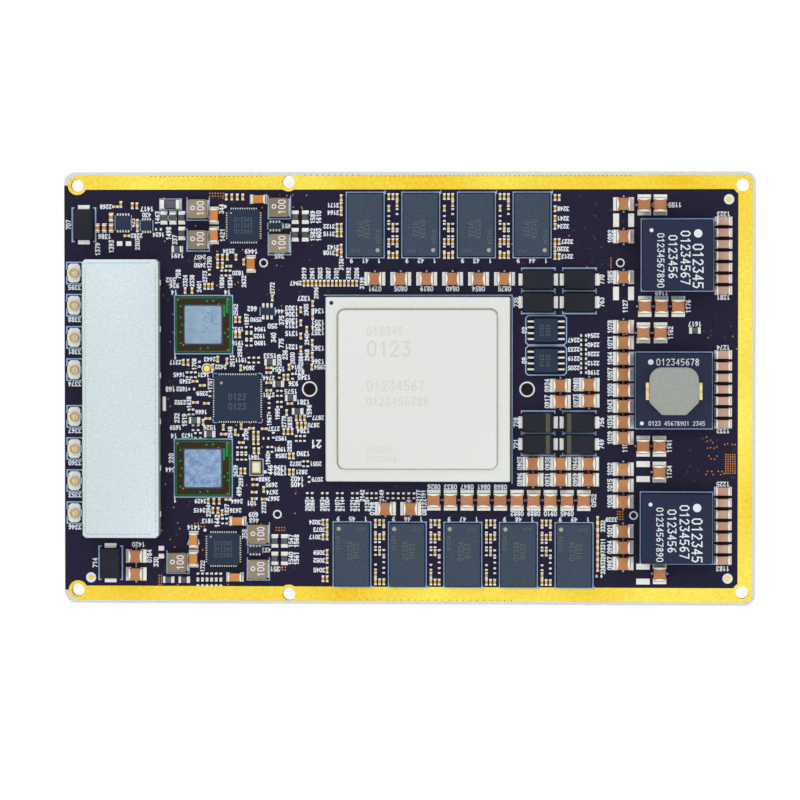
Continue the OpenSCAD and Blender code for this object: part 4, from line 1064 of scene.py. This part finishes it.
class MODULE_OT_silkscreen(ModuleOperator, bpy.types.Operator):
    """Print outlines, rings and plain position numbers on the mask"""

    bl_idname = "module.silkscreen"
    bl_label = "Silkscreen"

    # Framed chips: gap to the frame in mm, its sides, and its lines as a share of the usual width
    FRAMES = ((MODULES, 0.3, "tblr", 1), (["processor_substrate"], 0.35, "tr", 1), (SUBSTRATES, 0.32, "tblr", 1.2),
              (["oscillator"], 0.45, "tblr", 1))
    # The same gap of the memory chips, the longest bead and the inductors
    MEMORY_GAP, BEAD_GAP, COIL_GAP = 0.35, 0.3, 0.38
    # From a coaxial base or a small package to its brackets
    BRACKET_GAP = 0.28 * MM
    # The tantalum brackets' lines as a share of the usual width, and how far their returns are raised
    BROAD, RETURN = 1.4, 1.3
    # From the middle of a brown capacitor to the dots beside it, and their radius in mm
    DOT_PLACE, DOT_RADIUS = 1.65 * MM, 0.24
    # Columns of numbers: X, then each row's Y in mm, and the first number and the step to the next
    COLUMN_FIRST, COLUMN_STEP = 1303, 3
    COLUMNS = (
        (-25.4, (17.4, 16.1, 14.7, 13.6, 11.9, 10.9, 9, 8)), (-22.7, (19.5, 18.4, 7.2, 6.1, 5, 3.8, 2.4)),
        (-19.7, (16.8, 14.3, 13.2, 12.1, 11, 8.7, 5.8, 3.5)), (-25.6, (-4, -6.3, -7.9)),
        (-22.9, (-3, -9.2, -10.3, -14.2, -15.2)), (-27.9, (-17.3, -18.4)), (-24.2, (-19.7, -20.9)),
        (-62.2, (41.9,)), (-59.1, (41.9,)), (-56.9, (40.3, 38.9)), (-58.9, (-34.1, -42.5)),
    )
    # The parts that get a number, in the order in which they choose their places, and how many figures it has
    PART_FIRST, PART_STEP = 707, 7
    NUMBERED = (
        ("tantalum_bodies", 3), ("capacitor_bodies", 4), ("edge_capacitor_bodies", 4), ("inductor_bodies", 3),
        ("filter_capacitor_bodies", 4), ("grey_chip_bodies", 4), ("small_resistors", 4), ("small_capacitors", 4),
        ("coax_bases", 4), ("flash_chip_1", 2), ("flash_chip_2", 2), ("clock_chip", 2), ("small_packages", 3),
    )
    # Busy areas: X from, X to, Y from, Y to in mm, and from one number to the next and one row to the next
    BUSY = ((-52, -36, -19, 25), (-36, -23, -19, 18.5), (-40, -31, -30, -20))
    BUSY_STEP, BUSY_ROW = 2.6, 1.25
    # How far from a part its number is tried first, and from one try to the next in mm, and how many tries
    FIRST_TRY, NEXT_TRY, TRIES = 0.2, 0.3, 9
    # The numbers' stroke as a share of their height, the room round them, and how far they stay from the board's long
    # edges and its left one
    STROKE, ROOM, EDGE, LEFT_EDGE = 0.24, 0.1 * MM, 3.7 * MM, 0.3 * MM
    # Height of the small parts' numbers as a share of the others', and length of a chip with its ends as a share of
    # its body's
    SMALL_DIGIT, WITH_ENDS = 0.9, 1.15
    # Side of the squares by which the used areas are sorted
    CELL = 4 * MM

    def execute(self, context):
        self.z = board_top()
        self.outlines()
        self.rings()
        self.numbers()
        return {"FINISHED"}

    def stroke(self, sheet, start, end, raised=1.0):
        """A line of the usual width, raised above the lines that it crosses."""
        bar(sheet, start, end, self.marks.line, self.z, self.marks.ink * raised)

    def dot(self, sheet, x, y, radius, sides=14):
        """A round dot, its radius in millimetres."""
        disc(sheet, x, y, self.z, radius * MM, self.marks.ink, sides)

    def around(self, sheet, box, gap, sides="tblr", share=1.0):
        """A frame round a box at a gap in millimetres, its lines a share of the usual width."""
        low, high = box
        gap *= MM
        outline(sheet, (low.x - gap, low.y - gap), (high.x + gap, high.y + gap), self.marks.line * share, self.z,
                self.marks.ink, sides)

    def outlines(self):
        """The thin lines round the parts, and the dots beside the brown capacitors."""
        sheet = Sheet()
        self.memory_frames(sheet)
        for nodes, gap, sides, share in self.FRAMES:
            for node in nodes:
                self.around(sheet, extent(node), gap, sides, share)
        for node in FLASH:
            self.cut_frame(sheet, *extent(node))
        for low, high in blocks("tantalum_bodies"):
            self.tantalum_bracket(sheet, low, high)
        self.around(sheet, self.longest_bead(), self.BEAD_GAP)
        for box in blocks("inductor_bodies"):
            self.around(sheet, box, self.COIL_GAP, "lbr")
        for low, high in blocks("coax_bases"):
            self.coax_brackets(sheet, low, high)
        for low, high in blocks("small_packages"):
            gap = self.BRACKET_GAP
            outline(sheet, (low.x - gap, low.y), (high.x + gap, high.y), self.marks.line, self.z, self.marks.ink, "lr")
        self.clock_corners(sheet)
        for low, high in blocks("capacitor_bodies"):
            x, y = centre(low, high)
            flat = high.x - low.x < high.y - low.y
            for s in (-1, 1):
                dx, dy = (0, s * self.DOT_PLACE) if flat else (s * self.DOT_PLACE, 0)
                self.dot(sheet, x + dx, y + dy, self.DOT_RADIUS, 8)
        sheet.piece("silkscreen_lines", MATERIALS["line_ink"], "cream_plastic")

    def memory_frames(self, sheet):
        """A frame round each memory chip, with a tick beside its first pin."""
        gap, out, tick = self.MEMORY_GAP * MM, 0.6 * MM, 0.5 * MM
        for node in MEMORY:
            low, high = extent(node)
            self.around(sheet, (low, high), self.MEMORY_GAP)
            x, y = high.x + out, low.y - gap if node.startswith("memory_bottom") else high.y + gap
            self.stroke(sheet, (x, y - tick / 2), (x, y + tick / 2))

    def cut_frame(self, sheet, low, high):
        """A frame with cut corners round a flash chip and its leads."""
        reach, gap, cut = 1.85 * MM, 0.6 * MM, 0.5 * MM
        x0, x1, y0, y1 = low.x - reach, high.x + reach, low.y - gap, high.y + gap
        points = ((x0 + cut, y0), (x1 - cut, y0), (x1, y0 + cut), (x1, y1 - cut), (x1 - cut, y1), (x0 + cut, y1),
                  (x0, y1 - cut), (x0, y0 + cut))
        for layer, start in enumerate(points):
            self.stroke(sheet, start, points[(layer + 1) % len(points)], 1 + layer * LAYER)

    def tantalum_bracket(self, sheet, low, high):
        """Lines along a tantalum capacitor's long sides, with short returns at their ends."""
        flat = high.x - low.x > high.y - low.y
        gap_x, gap_y, back = (0.25 if flat else 0.4) * MM, 0.3 * MM, 0.45 * MM
        ends = (low.x - gap_x, low.y - gap_y), (high.x + gap_x, high.y + gap_y)
        outline(sheet, *ends, self.marks.line * self.BROAD, self.z, self.marks.ink, "tb" if flat else "lr")
        for x, sx in ((ends[0][0], 1), (ends[1][0], -1)):
            for y, sy in ((ends[0][1], 1), (ends[1][1], -1)):
                self.stroke(sheet, (x, y), (x, y + sy * back) if flat else (x + sx * back, y), self.RETURN)

    def longest_bead(self):
        """The box of the longest grey chip with its ends."""
        low, high = max(blocks("grey_chip_bodies"), key=lambda box: box[1].x - box[0].x)
        reach = (high.x - low.x) * 0.3
        return low - Vector((reach, 0, 0)), high + Vector((reach, 0, 0))

    def coax_brackets(self, sheet, low, high):
        """Two broad brackets round a coaxial receptacle, open at its middle."""
        gap, reach, wide = self.BRACKET_GAP, 0.9 * MM, 0.28 * MM
        x0, x1, y0, y1 = low.x - wide / 2, high.x + wide / 2, low.y - gap, high.y + gap
        y = (low.y + high.y) / 2
        outline(sheet, (x0, y0), (x1, y - reach), wide, self.z, self.marks.ink, "blr")
        outline(sheet, (x0, y + reach), (x1, y1), wide, self.z, self.marks.ink, "tlr")

    def clock_corners(self, sheet):
        """Corner lines round the clock chip's leads."""
        low, high = extent("clock_chip_leads")
        long = 0.8 * MM
        for sx, x in ((1, low.x), (-1, high.x)):
            for sy, y in ((1, low.y), (-1, high.y)):
                self.stroke(sheet, (x, y), (x + sx * long, y))
                self.stroke(sheet, (x, y), (x, y + sy * long))

    def rings(self):
        """White rings round the gold discs, and pin marks."""
        sheet = Sheet()
        for low, high in blocks("gold_discs"):
            x, y = centre(low, high)
            radius = (high.x - low.x) / 2
            inner, outer = (0.2, 0.44) if radius > 0.6 * MM else (0.02, 0.6)
            hoop(sheet, x, y, self.z, radius + inner * MM, radius + outer * MM, self.marks.ink, 28)
        for node in SUPPLY:
            low, high = extent(node)
            self.dot(sheet, low.x - 0.55 * MM, high.y + 0.6 * MM, 0.36)
        low, high = extent("oscillator")
        self.dot(sheet, high.x + 0.9 * MM, low.y + 0.3 * MM, 0.38)
        low, high = extent("clock_chip_leads")
        self.dot(sheet, low.x - 0.3 * MM, high.y + 0.45 * MM, 0.36)
        sheet.piece("silkscreen_rings", MATERIALS["white_ink"], "cream_plastic")

    def numbers(self):
        """A plain number beside each part wherever the board has room, then a fill of them in the busy areas."""
        self.taken = {}
        for node in PRINT_OBSTACLES:
            rim = PRINT_RIMS.get(node, 0) * MM
            for low, high in blocks(node):
                if high.z > self.z:
                    self.take((low.x - rim, low.y - rim, high.x + rim, high.y + rim))
        sheet = Sheet()
        self.corner_numbers(sheet)
        self.number_columns(sheet)
        count = self.PART_FIRST
        for node, length in self.NUMBERED:
            for box in blocks(node):
                if box[0].z > self.z - MM and not self.between_memories(box):
                    self.beside(sheet, str(count).zfill(4)[-length:], box, node)
                    count += self.PART_STEP
        sheet.piece("silkscreen_numbers", MATERIALS["ink"], "cream_plastic")
        self.busy_numbers()

    def busy_numbers(self):
        """Short numbers wherever the busy areas still have room."""
        sheet = Sheet()
        chance = random.Random(self.marks.seed)
        for x0, x1, y0, y1 in self.BUSY:
            y = y0
            while y < y1:
                x = x0 + chance.uniform(0, 2)
                while x < x1:
                    self.fit(sheet, str(chance.randrange(100, 990)), x * MM, y * MM, chance.choice((2, 2, 1)))
                    x += self.BUSY_STEP
                y += self.BUSY_ROW
        sheet.piece("silkscreen_fill", MATERIALS["ink"], "cream_plastic")

    def between_memories(self, box):
        """Whether a part stands in the gaps between the memory chips."""
        x, y = centre(*box)
        for row in (MEMORY[:4], MEMORY[4:]):
            first, last = extent(row[0]), extent(row[-1])
            if first[1].x < x < last[0].x and first[0].y - MM < y < first[1].y + MM:
                return True
        return False

    def corner_numbers(self, sheet):
        """Pin numbers at the corners of the memory chips and transceivers."""
        gap = 0.95 * MM
        for i, node in enumerate(MEMORY):
            low, high = extent(node)
            y = high.y + gap if node.startswith("memory_bottom") else low.y - gap
            for share, text in ((0.1, "9"), (0.5, str(41 + i)), (0.9, "1")):
                self.fit(sheet, text, low.x + (high.x - low.x) * share, y, 2)
        gap = 1.0 * MM
        for node in SUBSTRATES:
            low, high = extent(node)
            self.fit(sheet, "14", low.x - 0.4 * MM, high.y + gap, 2)
            self.fit(sheet, "14", high.x - 0.8 * MM, high.y + gap, 2)
            self.fit(sheet, "1", low.x - 0.2 * MM, low.y - gap, 2)

    def number_columns(self, sheet):
        """The processor's own number, and the neat columns of numbers beside it and at the board's left corners."""
        self.fit(sheet, "21", -20.1 * MM, -12.1 * MM, 2, 1.5 * MM)
        count = self.COLUMN_FIRST
        for x, rows in self.COLUMNS:
            for y in rows:
                self.fit(sheet, str(count), x * MM, y * MM, 2)
                count += self.COLUMN_STEP

    def cells(self, area):
        """The squares of a coarse grid that an area touches."""
        x0, y0, x1, y1 = (math.floor(bound / self.CELL) for bound in area)
        return [(i, j) for i in range(x0, x1 + 1) for j in range(y0, y1 + 1)]

    def take(self, area):
        """Marks an area as used."""
        for cell in self.cells(area):
            self.taken.setdefault(cell, []).append(area)

    def fit(self, sheet, text, x, y, turn, height=None):
        """Prints a number if its place is free, and says whether it did."""
        height = height or self.marks.digit
        long, rim = height * (FIGURE_STEP * len(text) - FIGURE_GAP), self.ROOM
        w, h = (height, long) if turn % 2 else (long, height)
        area = (x - w / 2 - rim, y - h / 2 - rim, x + w / 2 + rim, y + h / 2 + rim)
        low, high = extent("solder_mask")
        if area[0] < low.x + self.LEFT_EDGE or area[2] > high.x:
            return False
        if area[1] < low.y + self.EDGE or area[3] > high.y - self.EDGE:
            return False
        for cell in self.cells(area):
            for t in self.taken.get(cell, ()):
                if area[0] < t[2] and area[2] > t[0] and area[1] < t[3] and area[3] > t[1]:
                    return False
        number(sheet, text, x, y, turn, height, self.z, self.marks.ink, self.STROKE)
        self.take(area)
        return True

    def beside(self, sheet, text, box, node):
        """Prints a part's number at the first free place round it."""
        height = self.marks.digit * (self.SMALL_DIGIT if node.startswith("small") else 1)
        half_long, half_tall = height * FIGURE_STEP / 2 * len(text), height / 2
        low, high = box
        x, y = centre(low, high)
        w, h = (high.x - low.x) / 2, (high.y - low.y) / 2
        if node.split("_")[0] in ("capacitor", "edge", "filter", "grey", "tantalum"):
            w, h = (w * self.WITH_ENDS, h) if w > h else (w, h * self.WITH_ENDS)
        # Each place: direction from the part, and whether the number stands upright along Y
        left, right, above, below = ((-1, 0), True), ((1, 0), True), ((0, 1), False), ((0, -1), False)
        up, down, before, after = ((0, 1), True), ((0, -1), True), ((-1, 0), False), ((1, 0), False)
        processor_top, memory_low = extent("processor_lid")[1].y, extent(MEMORY[0])[0].y
        if node == "coax_bases":
            h += 0.4 * MM
            order = (below,)
        elif node == "capacitor_bodies" and processor_top < y < memory_low and x < extent(MEMORY[3])[1].x:
            order = (below, above, left, right)
        elif node.startswith("small"):
            order = (up, down, after, before, left, right) if h > w else (after, before, above, below, up, down)
        elif node in ("capacitor_bodies", "tantalum_bodies") and w < h:
            order = (left, right, below, above)
        else:
            order = (above, below, left, right, up, down) if h > w else (left, right, above, below, after, before)
        for (dx, dy), upright in order:
            depth = (half_tall if upright else half_long) if dx else (half_long if upright else half_tall)
            for step in range(self.TRIES):
                reach = (self.FIRST_TRY + self.NEXT_TRY * step) * MM + depth
                if self.fit(sheet, text, x + dx * (w + reach), y + dy * (h + reach), 1 if upright else 2, height):
                    return


class MODULE_OT_vias(ModuleOperator, bpy.types.Operator):
    """Set the vias, open ones and those that the mask covers"""

    bl_idname = "module.vias"
    bl_label = "Vias"

    # Grids: first X, first Y, columns, rows and pitch in mm
    GRIDS = (
        (68.6, -14.2, 5, 9, 0.5), (45.3, -26.6, 3, 4, 0.55), (42.2, -36.2, 2, 3, 0.5), (-46.6, -29.4, 4, 2, 0.7),
        (-43.2, 42.3, 6, 2, 0.6), (-28.8, -30.3, 4, 2, 0.6), (-28.6, -38.9, 4, 2, 0.6), (-46.6, 27.6, 4, 2, 1.2),
        (-54.4, -40.8, 2, 5, 0.5), (43.8, 28.2, 1, 5, 0.5),
    )
    # The group above the lower power module: X and Y in mm
    GROUP = (
        (64.5, -10.4), (64.6, -11.3), (65.3, -11.1), (65.8, -11.6), (64.7, -12.8), (65.3, -12.7), (66.1, -12.8),
        (66.7, -12.5), (65, -14.5), (65.4, -15.1), (66.2, -15.2), (66.7, -14.5), (64.7, -17.8), (65.6, -17.8),
        (64.4, -18.5), (65.9, -18.5), (67, -17.8), (67.8, -17.8), (67.5, -18.5), (68.2, -18.3), (68.4, -12),
        (69, -11.8), (70, -12), (70.6, -12),
    )
    # Scattered open vias, and those that the mask covers: X from, X to, Y from, Y to in mm, and count
    OPEN = ((-53, -24, -30, 30, 70), (-54, -20, 28, 42, 40), (-54, -26, -43, -28, 40), (63, 71, -8, 12, 6),
            (22, 45, 26, 42, 6))
    COVERED = ((22, 44, 26, 42, 30), (-57, -22, -30, 30, 80), (-50, -20, 26, 42, 30), (60, 71, -20, 14, 26),
               (30, 58, -42, 42, 40), (-60, -22, -42, -28, 30), (-20, 24, -26, -20, 12), (-24, 20, 20, 30, 16))
    COVERED_HOLE, COVERED_RING = 0.13 * MM, 0.25 * MM
    # Height of the covered ones' rings as a share of the ink's
    COVERED_RISE = (0.2, 0.4)

    def execute(self, context):
        top, radius = board_top(), self.marks.via / 2
        sheet = Sheet()
        for x, y, columns, rows, pitch in self.GRIDS:
            for i in range(columns):
                for j in range(rows):
                    disc(sheet, (x + i * pitch) * MM, (y - j * pitch) * MM, top, radius, self.marks.ink, 8)
        for x, y in self.GROUP:
            disc(sheet, x * MM, y * MM, top, radius, self.marks.ink, 8)
        chance = random.Random(self.marks.seed)
        for x0, x1, y0, y1, count in self.OPEN:
            for _ in range(count):
                disc(sheet, chance.uniform(x0, x1) * MM, chance.uniform(y0, y1) * MM, top, radius, self.marks.ink / 2,
                     8)
        sheet.piece("via_dots", MATERIALS["copper"], "gold_plating")
        self.tented(chance)
        return {"FINISHED"}

    def tented(self, chance):
        """Vias that the mask covers, which show as faint rings."""
        sheet = Sheet()
        for x0, x1, y0, y1, count in self.COVERED:
            for _ in range(count):
                hoop(sheet, chance.uniform(x0, x1) * MM, chance.uniform(y0, y1) * MM, board_top(), self.COVERED_HOLE,
                     self.COVERED_RING, self.marks.ink * chance.uniform(*self.COVERED_RISE), 10)
        sheet.piece("tented_vias", MATERIALS["tent"], "solder_mask")


class MODULE_OT_carrier(ModuleOperator, bpy.types.Operator):
    """Finish the carrier connectors on the underside"""

    bl_idname = "module.carrier"
    bl_label = "Carrier connectors"

    def execute(self, context):
        for node in CONNECTORS:
            paint(node, MATERIALS["housing"])
        paint("carrier_contacts", MATERIALS["brass"])
        return {"FINISHED"}


class MODULE_OT_stage(ModuleOperator, bpy.types.Operator):
    """Set the floor, the soft light and the camera"""

    bl_idname = "module.stage"
    bl_label = "Stage"

    # Half the floor's side in metres, and how far below the module it lies
    FLOOR_HALF, FLOOR_DROP = 3, 0.2 * MM
    # How bright the paper is as a colour and by itself
    PAPER, GLOW = 0.5, 0.72
    # From where to where the paper's own brightness rises, from the module's middle in mm
    RISE = (("X", 50, 69), ("Y", 30, 43))
    # Places and side of the softboxes in metres
    SOFTBOXES = (("softbox_far", (-0.55, 0.75, 0.8)), ("softbox_near", (0.6, -0.65, 0.85)))
    SOFTBOX_SIDE = 0.8

    def execute(self, context):
        settings = context.scene.module_stage
        self.floor()
        self.room(context.scene, settings.fill)
        self.softboxes(context.scene, settings.softbox)
        self.camera(context.scene, settings)
        context.scene.view_settings.view_transform = "Standard"
        return {"FINISHED"}

    def seen(self, tree):
        """1 for rays from the camera, from gloss or through glass, and 0 for the light on the object."""
        path = add_node(tree, "ShaderNodeLightPath")
        gloss = add_node(tree, "ShaderNodeMath", {"operation": "MAXIMUM"},
                         {0: (path, "Is Camera Ray"), 1: (path, "Is Glossy Ray")})
        return add_node(tree, "ShaderNodeMath", {"operation": "MAXIMUM"},
                        {0: (gloss, 0), 1: (path, "Is Transmission Ray")})

    def floor(self):
        """White paper that keeps half of the shadow on it, and all of it under the middle of the board."""
        bm = bmesh.new()
        bmesh.ops.create_grid(bm, x_segments=1, y_segments=1, size=self.FLOOR_HALF)
        bmesh.ops.translate(bm, verts=bm.verts, vec=(0, 0, -self.FLOOR_DROP))
        mesh = bpy.data.meshes.new("floor")
        bm.to_mesh(mesh)
        bm.free()
        made = bpy.data.materials.new("White paper, matt")
        made.use_nodes = True
        tree = made.node_tree
        tree.nodes.remove(tree.nodes["Principled BSDF"])
        paper = add_node(tree, "ShaderNodeBsdfDiffuse", {"Color": (self.PAPER, self.PAPER, self.PAPER, 1)})
        place = add_node(tree, "ShaderNodeTexCoord")
        split = add_node(tree, "ShaderNodeSeparateXYZ", {}, {0: (place, "Object")})
        beyond = []
        for axis, start, end in self.RISE:
            size = add_node(tree, "ShaderNodeMath", {"operation": "ABSOLUTE"}, {0: (split, axis)})
            beyond.append(add_node(tree, "ShaderNodeMapRange", {"interpolation_type": "SMOOTHSTEP",
                                                                "From Min": start * MM, "From Max": end * MM},
                                   {"Value": (size, 0)}))
        outside = add_node(tree, "ShaderNodeMath", {"operation": "MAXIMUM"}, {0: (beyond[0], 0), 1: (beyond[1], 0)})
        strength = add_node(tree, "ShaderNodeMath", {"operation": "MULTIPLY"},
                            {0: (outside, 0), 1: (self.seen(tree), 0)})
        glow = add_node(tree, "ShaderNodeEmission", {"Color": (self.GLOW, self.GLOW, self.GLOW, 1)},
                        {"Strength": (strength, 0)})
        both = add_node(tree, "ShaderNodeAddShader", {}, {0: (paper, 0), 1: (glow, 0)})
        tree.links.new(both.outputs[0], tree.nodes["Material Output"].inputs["Surface"])
        mesh.materials.append(made)
        floor = bpy.data.objects.new("floor", mesh)
        bpy.context.scene.collection.objects.link(floor)
        floor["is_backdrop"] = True

    def room(self, scene, fill):
        """A white room: plain white where it is seen, and dimmer as light."""
        world = bpy.data.worlds.new("white room")
        world.use_nodes = True
        tree = world.node_tree
        background = tree.nodes["Background"]
        background.inputs["Color"].default_value = (1, 1, 1, 1)
        span = add_node(tree, "ShaderNodeMapRange", {"From Min": 0.0, "From Max": 1.0, "To Min": fill, "To Max": 1.0},
                        {"Value": (self.seen(tree), 0)})
        tree.links.new(span.outputs[0], background.inputs["Strength"])
        scene.world = world

    def softboxes(self, scene, power):
        """Two large softboxes, up on the far left and the near right, clear of the flat tops' mirror direction."""
        for name, place in self.SOFTBOXES:
            lamp = bpy.data.lights.new(name, "AREA")
            lamp.shape = "SQUARE"
            lamp.size = self.SOFTBOX_SIDE
            lamp.energy = power
            made = bpy.data.objects.new(name, lamp)
            made.location = place
            made.rotation_euler = (-Vector(place)).to_track_quat("-Z", "Y").to_euler()
            scene.collection.objects.link(made)
            made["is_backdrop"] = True

    def camera(self, scene, settings):
        """Framed as the photograph is, from over the right of the board, with the board's far edge up."""
        aim = Vector((VIEW_MIDDLE[0] * MM, VIEW_MIDDLE[1] * MM, board_top()))
        place = Vector((*settings.stand, board_top() + settings.distance))
        back = (place - aim).normalized()
        right = Vector((0, 1, 0)).cross(back).normalized()
        lens = bpy.data.cameras.new("camera")
        lens.lens = lens.sensor_width * (place - aim).length / (IMAGE_SIDE * MM_PER_PIXEL * MM)
        made = bpy.data.objects.new("camera", lens)
        made.location = place
        made.rotation_euler = Matrix((right, back.cross(right), back)).transposed().to_euler()
        scene.collection.objects.link(made)
        scene.camera = made


class MODULE_PT_panel(bpy.types.Panel):
    """Lists the operators"""

    bl_idname = "MODULE_PT_panel"
    bl_label = "System on module"
    bl_space_type = "VIEW_3D"
    bl_region_type = "UI"
    bl_category = "Module"

    def draw(self, context):
        for operator in OPERATORS:
            self.layout.operator(operator.bl_idname)


OPERATORS = (
    MODULE_OT_board, MODULE_OT_processor, MODULE_OT_transceivers, MODULE_OT_packages, MODULE_OT_power,
    MODULE_OT_shield, MODULE_OT_coax, MODULE_OT_passives, MODULE_OT_silkscreen, MODULE_OT_vias, MODULE_OT_carrier,
    MODULE_OT_stage,
)
SETTINGS = {"module_edges": ModuleEdges, "module_print": ModulePrint, "module_colours": ModuleColours,
            "module_stage": ModuleStage}
MATERIALS = {}


def register():
    for group in (*SETTINGS.values(), *OPERATORS, MODULE_PT_panel):
        bpy.utils.register_class(group)
    for name, group in SETTINGS.items():
        setattr(bpy.types.Scene, name, bpy.props.PointerProperty(type=group))


def unregister():
    for name in SETTINGS:
        delattr(bpy.types.Scene, name)
    for group in reversed((*SETTINGS.values(), *OPERATORS, MODULE_PT_panel)):
        bpy.utils.unregister_class(group)


def main():
    register()
    MATERIALS.update(finishes())
    for operator in OPERATORS:
        namespace, name = operator.bl_idname.split(".")
        getattr(getattr(bpy.ops, namespace), name)()


if __name__ == "__main__":
    main()
